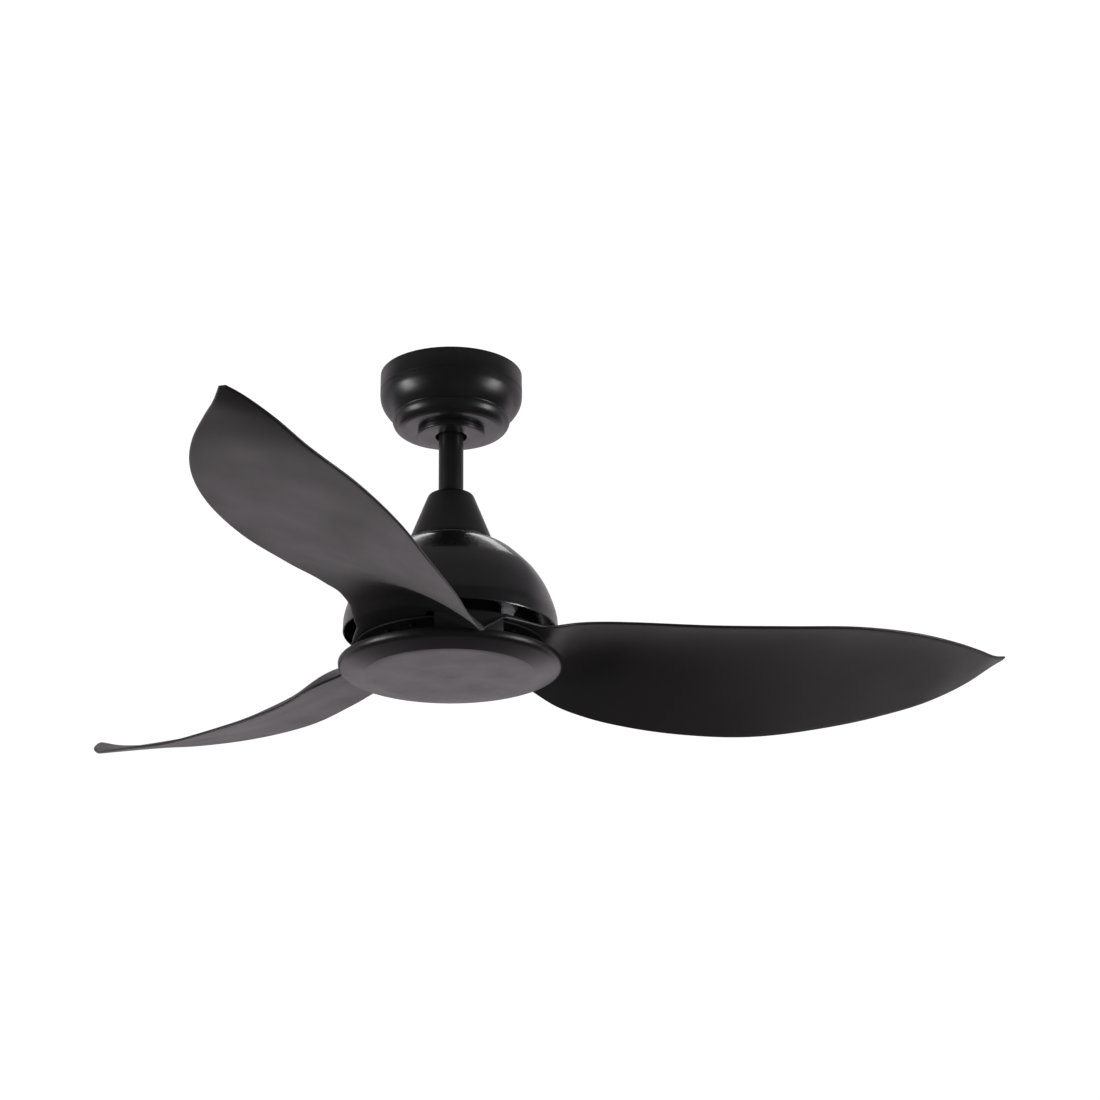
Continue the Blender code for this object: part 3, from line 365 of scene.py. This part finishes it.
MATERIALS = {
    "satin_black_paint": satin_paint(),
    "gloss_black_paint": gloss_paint(),
    "cover_paint": cover_paint(),
    # The hub dish and clamp ring plate get a darker black than their satin paint, as painted shade.
    "painted_shade_black": shade_darkened_black(),
    "matte_black_plastic": moulded_plastic(),
    "zinc_steel": plain_metal("zinc_steel", (0.60, 0.60, 0.58), (0.50, 0.51, 0.50), 0.32, 900.0, 0.000015),
    "cast_aluminium": plain_metal("cast_aluminium", (0.56, 0.57, 0.58), (0.45, 0.46, 0.47), 0.46, 700.0,
                                  0.00005),
    "lamination_steel": plain_metal("lamination_steel", (0.28, 0.28, 0.29), (0.20, 0.20, 0.21), 0.5, 200.0,
                                    0.00006, (0.05, 0.05, 12.0)),
    "copper_winding": plain_metal("copper_winding", (0.70, 0.32, 0.14), (0.52, 0.20, 0.08), 0.34, 300.0,
                                  0.0002, (1.0, 1.0, 6.0)),
    "ferrite": plain_plastic("ferrite", (0.06, 0.06, 0.065), (0.09, 0.09, 0.09), 0.6),
    "black_screw": plain_metal("black_screw", (0.030, 0.030, 0.032), (0.050, 0.050, 0.052), 0.38, 900.0,
                               0.00001),
    "nylon": plain_plastic("nylon", (0.78, 0.77, 0.71), (0.70, 0.69, 0.62), 0.44),
}


def paint(item, slot):
    """Give the piece its only material."""
    item.data.materials.clear()
    item.data.materials.append(MATERIALS[slot])


for entry in frame["record"]["subparts"]:
    node = frame["nodes"][entry["node"]]
    for index in range(max(1, len(node.material_slots))):
        if not node.material_slots:
            node.data.materials.append(None)
        node.material_slots[index].material = MATERIALS[entry["material_slot"]]

BODY_OF = {node: body for body, nodes in frame["record"]["behaviour"]["bodies"].items() for node in nodes}
SLOT_OF = {entry["node"]: entry["material_slot"] for entry in frame["record"]["subparts"]}


# ---------------------------------------------------------------- mesh tools
def to_object(name, data, node, look=None, angle=35.0):
    """Finish a bmesh as a shown piece that stands for one CAD node."""
    bmesh.ops.recalc_face_normals(data, faces=data.faces)
    mesh = bpy.data.meshes.new(name)
    data.to_mesh(mesh)
    data.free()
    mesh.shade_smooth()
    mesh.set_sharp_from_angle(angle=radians(angle))
    item = bpy.data.objects.new(name, mesh)
    bpy.context.scene.collection.objects.link(item)
    adopt(item, node, look)
    return item


def adopt(item, node, look=None):
    """Ride on the node's body, replace it, and take its slot and material."""
    slot = SLOT_OF[node]
    paint(item, look or slot)
    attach(item, BODY_OF[node])
    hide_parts(node)


def fillet(points, radii, steps=5):
    """Round each corner of a closed (radius, z) outline; radii is one number or one per corner."""
    if isinstance(radii, (int, float)):
        radii = [radii] * len(points)
    rounded = []
    for index, (corner, radius) in enumerate(zip(points, radii)):
        corner = Vector(corner)
        before = Vector(points[index - 1]) - corner
        after = Vector(points[(index + 1) % len(points)]) - corner
        reach = min(before.length, after.length) * 0.48
        half = before.angle(after) / 2
        if radius <= 0 or half > radians(88) or reach < 1e-7:
            rounded.append(tuple(corner))
            continue
        run = min(radius / np.tan(half), reach)
        first, last = corner + before.normalized() * run, corner + after.normalized() * run
        for step in range(steps + 1):
            t = step / steps
            rounded.append(tuple(first * (1 - t)**2 + corner * 2 * t * (1 - t) + last * t**2))
    return rounded


def curve_through(points, cuts=6):
    """Smooth open curve through (radius, z) points."""
    ends = [2 * Vector(points[0]) - Vector(points[1])] + [Vector(p) for p in points]
    ends.append(2 * Vector(points[-1]) - Vector(points[-2]))
    path = []
    for a, b, c, d in zip(ends, ends[1:], ends[2:], ends[3:]):
        for cut in range(cuts):
            t = cut / cuts
            path.append(tuple(0.5 * (2 * b + (c - a) * t + (2 * a - 5 * b + 4 * c - d) * t**2
                                     + (3 * b - a - 3 * c + d) * t**3)))
    path.append(tuple(points[-1]))
    return path


def lathe(name, profile, node, look=None, steps=144, closed=True, centre=(0.0, 0.0)):
    """Turn a (radius, z) outline about Z."""
    data = bmesh.new()
    points = [data.verts.new((radius, 0.0, height)) for radius, height in profile]
    edges = [data.edges.new(pair) for pair in zip(points, points[1:])]
    if closed:
        edges.append(data.edges.new((points[-1], points[0])))
    bmesh.ops.spin(data, geom=points + edges, axis=(0, 0, 1), cent=(0, 0, 0), angle=2 * pi,
                   steps=steps, use_duplicate=False)
    bmesh.ops.remove_doubles(data, verts=data.verts, dist=1e-7)
    bmesh.ops.translate(data, vec=(*centre, 0.0), verts=data.verts)
    return to_object(name, data, node, look)


def inset(path, wall):
    """The same open (radius, z) curve, moved in by a wall along its normals."""
    moved = []
    for index in range(len(path)):
        before, after = Vector(path[max(index - 1, 0)]), Vector(path[min(index + 1, len(path) - 1)])
        along = (after - before).normalized()
        moved.append((path[index][0] + along.y * wall, path[index][1] - along.x * wall))
    return moved


# ---------------------------------------------------------------- ceiling end
def make_canopy():
    """Bell: plain band, fine bead, bulge, groove, lower roll and flat underside."""
    low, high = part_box("canopy")
    band = high.x
    bottom = low.z
    hole = 0.0163
    wall = 0.0014
    bead = [(band, -0.0195), (band, -0.0210), (band - 0.0007, -0.0218), (band - 0.0006, -0.0226),
            (band, -0.0233)]
    bulge = curve_through([(band, -0.0245), (band - 0.0008, -0.0310), (band - 0.0032, -0.0372),
                           (band - 0.0075, -0.0436), (band - 0.0128, -0.0489)], 6)
    groove = [(band - 0.0140, -0.0497), (band - 0.0142, -0.0506), (band - 0.0134, -0.0513)]
    roll = curve_through([(band - 0.0131, -0.0524), (band - 0.0136, -0.0556), (band - 0.0156, -0.0596),
                          (band - 0.0192, -0.0628), (band - 0.0236, bottom + 0.0002)], 6)
    outside = [(band - 0.0006, high.z), (band - 0.0002, high.z - 0.0006)] + bead + bulge + groove + roll
    underside = [(band - 0.026, bottom), (hole + 0.0006, bottom), (hole, bottom + 0.0005)]
    inside = inset([(band, high.z - 0.0006), (band, -0.0245)] + bulge[3::3], wall)
    inside = list(reversed(inside))
    floor = [(hole, bottom + wall), (band - 0.0250, bottom + wall), (band - 0.0185, bottom + 0.0042)]
    lathe("canopy_bell", outside + underside + floor + inside, "canopy")


def make_trim_ring():
    """Shallow ring round the rod under the canopy."""
    low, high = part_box("canopy_trim_ring")
    outer, bottom, top = high.x, low.z, high.z
    hole, wall = 0.0166, 0.0012
    outline = [(outer, top), (outer, bottom), (hole, bottom), (hole, bottom + wall),
               (outer - wall, bottom + wall), (outer - wall, top)]
    radii = [0.0003, 0.0016, 0.0005, 0.0004, 0.0008, 0.0003]
    lathe("canopy_trim", fillet(outline, radii), "canopy_trim_ring")


def make_rod():
    """Painted tube with softened ends."""
    low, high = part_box("downrod")
    outer, inner = 0.013, 0.0114
    outline = [(outer, high.z), (outer, low.z), (inner, low.z), (inner, high.z)]
    lathe("downrod_tube", fillet(outline, 0.0004, 3), "downrod", steps=96)


def make_coupling_cover():
    """Cone with a rounded shoulder, a narrow lip at its foot and a rolled hole at its top."""
    low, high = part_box("coupling_cover")
    base, bottom, top = high.x, low.z, high.z
    hole, neck, wall, lip = 0.0139, 0.0240, 0.0013, base - 0.0095
    outline = [(hole, top), (neck - 0.0008, top), (base - 0.0006, bottom + 0.0032), (base, bottom),
               (lip, bottom), (lip, bottom + wall), (base - 0.0028, bottom + wall),
               (neck - 0.0022, top - wall), (hole, top - wall)]
    radii = [0.0004, 0.0062, 0.004, 0.0006, 0.0004, 0.0003, 0.001, 0.005, 0.0004]
    lathe("coupling_cone", fillet(outline, radii, 8), "coupling_cover", steps=128)


# ---------------------------------------------------------------- motor housing
def make_dome():
    """Glossy dome: flat crown under the yoke, round side, rolled rim."""
    low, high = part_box("motor_dome")
    radius, top, bottom = high.x, high.z, low.z
    hole, wall = 0.0193, 0.0015
    rows = ((0.0660, 0.0002), (0.0582, 0.0025), (0.0472, 0.0090), (0.0376, 0.0172), (0.0285, 0.0263),
            (0.0205, 0.0357), (0.0112, 0.0510), (0.0048, 0.0666), (0.0008, 0.0810), (0.0, 0.0945))
    side = curve_through([(radius - inset_by, top - depth) for inset_by, depth in rows], 7)
    rim = [(radius, bottom + 0.0008), (radius - 0.0003, bottom + 0.0002), (radius - 0.0008, bottom),
           (radius - 0.0013, bottom + 0.0002)]
    inside = list(reversed(inset(side, wall)))
    crown = [(hole, top), (radius - 0.070, top)]
    under = [(radius - 0.071, top - wall), (hole, top - wall)]
    lathe("dome_shell", crown + side + rim + inside + under, "motor_dome", steps=180)


def make_bottom_cover():
    """Blank cover: rounded rim, shallow slope, crisp flat face with a slight dimple."""
    low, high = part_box("bottom_cover")
    radius, top, bottom = high.x, high.z, low.z
    face, wall = radius - 0.0266, 0.0015
    rim = [(radius - 0.0006, top), (radius - 0.0001, top - 0.0007)]
    side = curve_through([(radius, top - 0.0016), (radius - 0.0002, top - 0.0040),
                          (radius - 0.0011, top - 0.0062), (radius - 0.0028, top - 0.0079),
                          (radius - 0.0052, top - 0.0090)], 6)
    slope = [(face + 0.0010, bottom + 0.00042), (face + 0.0003, bottom + 0.00018),
             (face - 0.0006, bottom + 0.00002)]
    flat = [(face - 0.010, bottom), (0.0090, bottom), (0.0045, bottom + 0.00022), (0.0, bottom + 0.00035)]
    outside = rim + side + slope + flat
    inside = [(0.0, bottom + wall), (face, bottom + wall), (radius - 0.0056, top - 0.0078),
              (radius - 0.0026, top - 0.0062), (radius - wall, top - 0.0035), (radius - wall, top - 0.0004)]
    lathe("blank_cover", inside + outside, "bottom_cover", "cover_paint", steps=180, closed=False)


def make_hub():
    """Dish that carries the blades on its flange."""
    low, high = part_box("blade_hub")
    radius, bottom, top = high.x, low.z, high.z
    flange = bottom + 0.0023
    outline = [(0.030, top), (0.052, top), (0.064, flange), (radius, flange), (radius, bottom),
               (0.0615, bottom), (0.050, top - 0.003), (0.030, top - 0.003)]
    radii = [0.0004, 0.002, 0.003, 0.0006, 0.0006, 0.003, 0.002, 0.0004]
    # Painted shade: the dish takes the darker black instead of its satin paint.
    lathe("blade_hub_dish", fillet(outline, radii), "blade_hub", "painted_shade_black", steps=128)


APRON_FIRST, APRON_LAST = 22.0, 63.0


def make_clamp_ring():
    """Ring over the blade roots, and its apron down each gap between two roots."""
    low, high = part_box("blade_clamp_ring")
    radius, top, bottom = high.x, high.z, low.z
    under = top - 0.0022
    inner, wall = 0.074, 0.0015
    plate = [(inner, top), (radius, top), (radius, under), (inner, under)]
    ring = fillet(plate, [0.0004, 0.0008, 0.0004, 0.0004])
    # Painted shade: the ring plate takes the darker black instead of its satin paint; the aprons keep the
    # satin paint.
    lathe("clamp_ring_plate", ring, "blade_clamp_ring", "painted_shade_black", steps=144)
    section = fillet([(radius - wall, under + 0.0006), (radius - 0.0002, under + 0.0006),
                      (radius - 0.0002, bottom), (radius - wall, bottom)], 0.0005, 3)
    for index in range(3):
        data = bmesh.new()
        first, last = APRON_FIRST + 120 * index, APRON_LAST + 120 * index
        cells = 24
        rows = []
        for cell in range(cells + 1):
            angle = radians(first + (last - first) * cell / cells)
            rows.append([data.verts.new((r * cos(angle), r * sin(angle), z)) for r, z in section])
        for start, end in zip(rows, rows[1:]):
            for corner in range(len(section)):
                after = (corner + 1) % len(section)
                data.faces.new((start[corner], start[after], end[after], end[corner]))
        data.faces.new(rows[0])
        data.faces.new(list(reversed(rows[-1])))
        to_object(f"clamp_ring_apron_{index + 1}", data, "blade_clamp_ring")


# ---------------------------------------------------------------- blades
# Each row: share of the way from root to tip, azimuth in degrees, height above the hub plane.
LEADING_EDGE = (
    (0.00, -23.5, 0.0225), (0.03, -16.9, 0.0280), (0.08, -11.2, 0.0318), (0.16, -7.6, 0.0323),
    (0.29, -4.9, 0.0305), (0.46, -2.8, 0.0308), (0.62, -0.1, 0.0350), (0.75, 3.4, 0.0377),
    (0.85, 7.0, 0.0397), (0.92, 10.0, 0.0423), (0.97, 12.0, 0.0440), (1.00, 13.0, 0.0480),
)
TRAILING_EDGE = (
    (0.00, 45.2, -0.0040), (0.065, 44.0, -0.0140), (0.13, 39.8, -0.0230), (0.225, 35.9, -0.0290),
    (0.35, 32.5, -0.0310), (0.50, 28.8, -0.0280), (0.65, 25.4, -0.0156), (0.77, 22.2, -0.0022),
    (0.88, 18.6, 0.0144), (0.945, 16.4, 0.0306), (0.985, 14.4, 0.0440), (1.00, 13.6, 0.0480),
)
CAMBER_POWER = ((0.00, 4.0), (0.12, 2.2), (0.25, 1.6), (0.60, 1.35), (1.00, 1.0))
ROOT_CROWN = 0.0025
# Each row: azimuth in degrees, inner and outer radius past the hub, height above the hub plane.
COLLAR = (
    (-74.4, 0.0160, 0.0180, -0.0040), (-70.0, 0.0152, 0.0180, 0.0030),
    (-66.0, 0.0035, 0.0115, 0.0085), (-61.0, 0.0012, 0.0065, 0.0155), (-56.0, 0.0010, 0.0035, 0.0200),
)
COLLAR_FLANGE = ((-52.0, 0.0030), (-44.0, 0.0040), (-35.0, 0.0070), (-28.5, 0.0120))
FLANGE_REACH = 0.0518         # from the root in to the flange's inner edge
FLANGE_LAST_AZIMUTH = 10.9    # where the flange starts to swing out to the hub's edge
FLANGE_SWING = 8.5            # degrees that it takes
ROOT_CLEARANCE = 0.0012
EDGE_STEPS = (0.00012, 0.00040, 0.00085, 0.0015, 0.0024)
CHORD_CELLS = 26
ROOT_CELLS = 10


class BladeShape:
    """The blade's middle surface, in the frame of blade 1."""

    def __init__(self):
        self.hub_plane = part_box("bottom_cover")[1].z - 0.001
        self.hub_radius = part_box("blade_hub")[1].x
        self.root_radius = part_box("bottom_cover")[1].x + 0.0034
        self.thickness = 0.0032
        self.tip_radius = 0.610
        self.seat = 0.0198

    def value(self, table, share, column):
        places = np.array([row[0] for row in table])
        values = np.array([row[column] for row in table])
        slopes = np.gradient(values, places)
        cell = int(np.clip(np.searchsorted(places, share) - 1, 0, len(places) - 2))
        width = places[cell + 1] - places[cell]
        t = (share - places[cell]) / width
        return float((2 * t**3 - 3 * t**2 + 1) * values[cell] + (t**3 - 2 * t**2 + t) * width * slopes[cell]
                     + (3 * t**2 - 2 * t**3) * values[cell + 1] + (t**3 - t**2) * width * slopes[cell + 1])

    def height(self, share, across):
        leading = self.value(LEADING_EDGE, share, 2)
        trailing = self.value(TRAILING_EDGE, share, 2)
        crown = ROOT_CROWN * max(0.0, 1 - share / 0.3) * sin(pi * across)
        return leading + (trailing - leading) * across**self.value(CAMBER_POWER, share, 1) + crown

    def point(self, radius, azimuth, height):
        angle = radians(azimuth)
        return (radius * cos(angle), radius * sin(angle), self.hub_plane + height + self.thickness / 2)

    def span_row(self, share):
        radius = self.root_radius + share * (self.tip_radius - self.root_radius)
        start, end = self.value(LEADING_EDGE, share, 1), self.value(TRAILING_EDGE, share, 1)
        row = []
        for across in edge_spaced(radius * radians(end - start), CHORD_CELLS):
            row.append(self.point(radius, start + (end - start) * across, self.height(share, across)))
        return row

    def root_columns(self):
        """Columns (azimuth, inner radius, outer radius, inner height, outer height), collar first."""
        start, end = LEADING_EDGE[0][1], TRAILING_EDGE[0][1]
        rows = [(azimuth, self.hub_radius + inner, self.hub_radius + outer, height, height)
                for azimuth, inner, outer, height in COLLAR]
        inside = self.root_radius - FLANGE_REACH
        rows += [(azimuth, inside, self.hub_radius + outer, self.seat, self.seat + 0.0012)
                 for azimuth, outer in COLLAR_FLANGE]
        rows.append((start, inside, self.root_radius, self.seat, self.height(0.0, 0.0)))
        collar = refine(rows, 4)[:-1]
        gap = self.root_radius - self.hub_radius
        joined = []
        for across in edge_spaced(self.root_radius * radians(end - start), CHORD_CELLS):
            azimuth = start + (end - start) * across
            outer_height = self.height(0.0, across)
            past = azimuth - FLANGE_LAST_AZIMUTH
            late = min(1.0, max(0.0, past / (end - FLANGE_LAST_AZIMUTH)))
            swing = min(1.0, max(0.0, past / FLANGE_SWING))
            swing = swing * swing * (3 - 2 * swing)
            edge = self.hub_radius + ROOT_CLEARANCE + (gap - 2 * ROOT_CLEARANCE) * sqrt(late)
            inner = inside + (edge - inside) * swing
            joined.append((azimuth, inner, self.root_radius, min(self.seat, outer_height), outer_height))
        return collar, joined

    def column_points(self, column):
        azimuth, inner, outer, inner_height, outer_height = column
        level_to = max(inner, self.hub_radius)
        points = []
        for share in edge_spaced(outer - inner, ROOT_CELLS):
            radius = inner + (outer - inner) * share
            rise = max(0.0, (radius - level_to) / max(outer - level_to, 1e-6))**1.3
            points.append(self.point(radius, azimuth, inner_height + (outer_height - inner_height) * rise))
        return points


def edge_spaced(length, cells):
    """Shares of a length, close together at both ends so that its edges can be rounded."""
    close = [min(step, length * 0.06 * (index + 1)) / length for index, step in enumerate(EDGE_STEPS)]
    middle = [close[-1] + (1 - 2 * close[-1]) * index / cells for index in range(1, cells)]
    return [0.0] + close + middle + [1 - share for share in reversed(close)] + [1.0]


def refine(rows, cuts):
    """More rows on a smooth curve through the given ones."""
    table = np.array(rows, float)
    slopes = np.gradient(table, axis=0)
    fine = []
    for cell in range(len(table) - 1):
        for cut in range(cuts):
            t = cut / cuts
            fine.append(tuple((2 * t**3 - 3 * t**2 + 1) * table[cell] + (t**3 - 2 * t**2 + t) * slopes[cell]
                              + (3 * t**2 - 2 * t**3) * table[cell + 1] + (t**3 - t**2) * slopes[cell + 1]))
    fine.append(tuple(table[-1]))
    return fine


def span_shares():
    """Shares of the span, close together at the tip."""
    even = [0.006, 0.014] + [0.025 + 0.945 * index / 74 for index in range(75)]
    length = 0.492
    return even + [0.978, 0.985, 0.990, 0.9935] + [1 - step / length for step in reversed(EDGE_STEPS)] + [1.0]


def middle_sheet(shape):
    """The middle surface as a bmesh of two grids that share the root section."""
    data = bmesh.new()
    collar, joined = shape.root_columns()
    columns = [[data.verts.new(point) for point in shape.column_points(column)] for column in collar + joined]
    for first, second in zip(columns, columns[1:]):
        for row in range(len(first) - 1):
            data.faces.new((first[row], first[row + 1], second[row + 1], second[row]))
    previous = [column[-1] for column in columns[-len(joined):]]
    for share in span_shares():
        row = [data.verts.new(point) for point in shape.span_row(share)]
        for cell in range(len(row) - 1):
            data.faces.new((previous[cell], row[cell], row[cell + 1], previous[cell + 1]))
        previous = row
    return data


def thicken(data, thickness, rounding):
    """Two skins that meet in a round edge all along the sheet's boundary."""
    data.verts.index_update()
    rim = [edge for edge in data.edges if edge.is_boundary]
    samples = []
    for edge in rim:
        a, b = (vert.co for vert in edge.verts)
        count = max(1, int((b - a).length / 0.0004))
        samples += [a.lerp(b, step / count) for step in range(count + 1)]
    tree = KDTree(len(samples))
    for index, sample in enumerate(samples):
        tree.insert(sample, index)
    tree.balance()
    at_rim = {vert.index for edge in rim for vert in edge.verts}
    half = []
    for vert in data.verts:
        distance = 0.0 if vert.index in at_rim else tree.find(vert.co)[2]
        inward = 1 - min(distance, rounding) / rounding
        half.append(thickness / 2 * sqrt(1 - inward**2))
    verts = [vert.co.copy() for vert in data.verts]
    faces = [[vert.index for vert in face.verts] for face in data.faces]
    data.free()
    solid = bmesh.new()
    upper = [solid.verts.new(place + Vector((0, 0, height))) for place, height in zip(verts, half)]
    lower = [upper[index] if index in at_rim else solid.verts.new(place - Vector((0, 0, height)))
             for index, (place, height) in enumerate(zip(verts, half))]
    for face in faces:
        solid.faces.new([upper[index] for index in face])
        solid.faces.new([lower[index] for index in reversed(face)])
    return solid


def make_blades():
    """One rounded blade, turned into its three places."""
    shape = BladeShape()
    for index in range(3):
        data = thicken(middle_sheet(shape), shape.thickness, 0.0022)
        turn = Matrix.Rotation(2 * pi * index / 3, 3, "Z")
        bmesh.ops.rotate(data, cent=(0, 0, 0), matrix=turn, verts=data.verts)
        to_object(f"blade_{index + 1}_moulding", data, f"blade_{index + 1}", angle=60.0)


# ---------------------------------------------------------------- fasteners
def make_screws():
    """Pan-head screws with a cross recess and a threaded shank, one for each CAD screw but the yoke's set
    screws.
    """
    for node in [name for name in frame["nodes"] if "_screw_" in name and not name.startswith("yoke_set")]:
        low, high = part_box(node)
        centre = ((low.x + high.x) / 2, (low.y + high.y) / 2)
        downward = not node.startswith(("casing", "dome"))
        data = screw_mesh(high.z - low.z)
        if downward:
            bmesh.ops.rotate(data, cent=(0, 0, 0), matrix=Matrix.Rotation(pi, 3, "X"), verts=data.verts)
        head_top = low.z if downward else high.z
        bmesh.ops.translate(data, vec=(*centre, head_top), verts=data.verts)
        to_object(f"{node}_detail", data, node)


def screw_mesh(length):
    """A screw whose head's top is at the origin and whose shank runs down."""
    head, tall, shank, pitch = 0.0036, 0.002, 0.00195, 0.0007
    dome = [(0.0, -0.00075), (0.0005, -0.0007), (0.0009, -0.0001), (0.0022, -0.0002), (0.0031, -0.0006),
            (head, -0.0012), (head, -tall), (shank - 0.0003, -tall)]
    turns = int((length - tall - 0.0004) / pitch)
    thread = []
    for turn in range(turns):
        crest = -tall - 0.0003 - pitch * turn
        thread += [(shank - 0.0003, crest), (shank, crest - pitch * 0.45)]
    tip = [(shank - 0.0003, -length + 0.0003), (shank - 0.0006, -length), (0.0, -length)]
    data = bmesh.new()
    points = [data.verts.new((radius, 0.0, height)) for radius, height in dome + thread + tip]
    edges = [data.edges.new(pair) for pair in zip(points, points[1:])]
    bmesh.ops.spin(data, geom=points + edges, axis=(0, 0, 1), cent=(0, 0, 0), angle=2 * pi,
                   steps=24, use_duplicate=False)
    bmesh.ops.remove_doubles(data, verts=data.verts, dist=1e-7)
    for vert in data.verts:
        angle = atan2(vert.co.y, vert.co.x)
        reach = sqrt(vert.co.x**2 + vert.co.y**2)
        in_slot = abs(sin(2 * angle)) < 0.3 and 0.0004 < reach < 0.0023 and vert.co.z > -0.001
        if in_slot:
            vert.co.z -= 0.0006
    return data


def soften_cad_nodes():
    """Small rounded edges on the pressed and moulded CAD pieces that stay."""
    for node, width in (("hanger_bracket", 0.0004), ("receiver_box", 0.0014), ("terminal_block", 0.0006),
                        ("lamp_connector", 0.0005)):
        bevel = frame["nodes"][node].modifiers.new("edges", "BEVEL")
        bevel.width = width
        bevel.segments = 3
        bevel.limit_method = "ANGLE"
        bevel.angle_limit = radians(40)
        bevel.harden_normals = True


make_canopy()
make_trim_ring()
make_rod()
make_coupling_cover()
make_dome()
make_bottom_cover()
make_hub()
make_clamp_ring()
make_blades()
make_screws()
soften_cad_nodes()
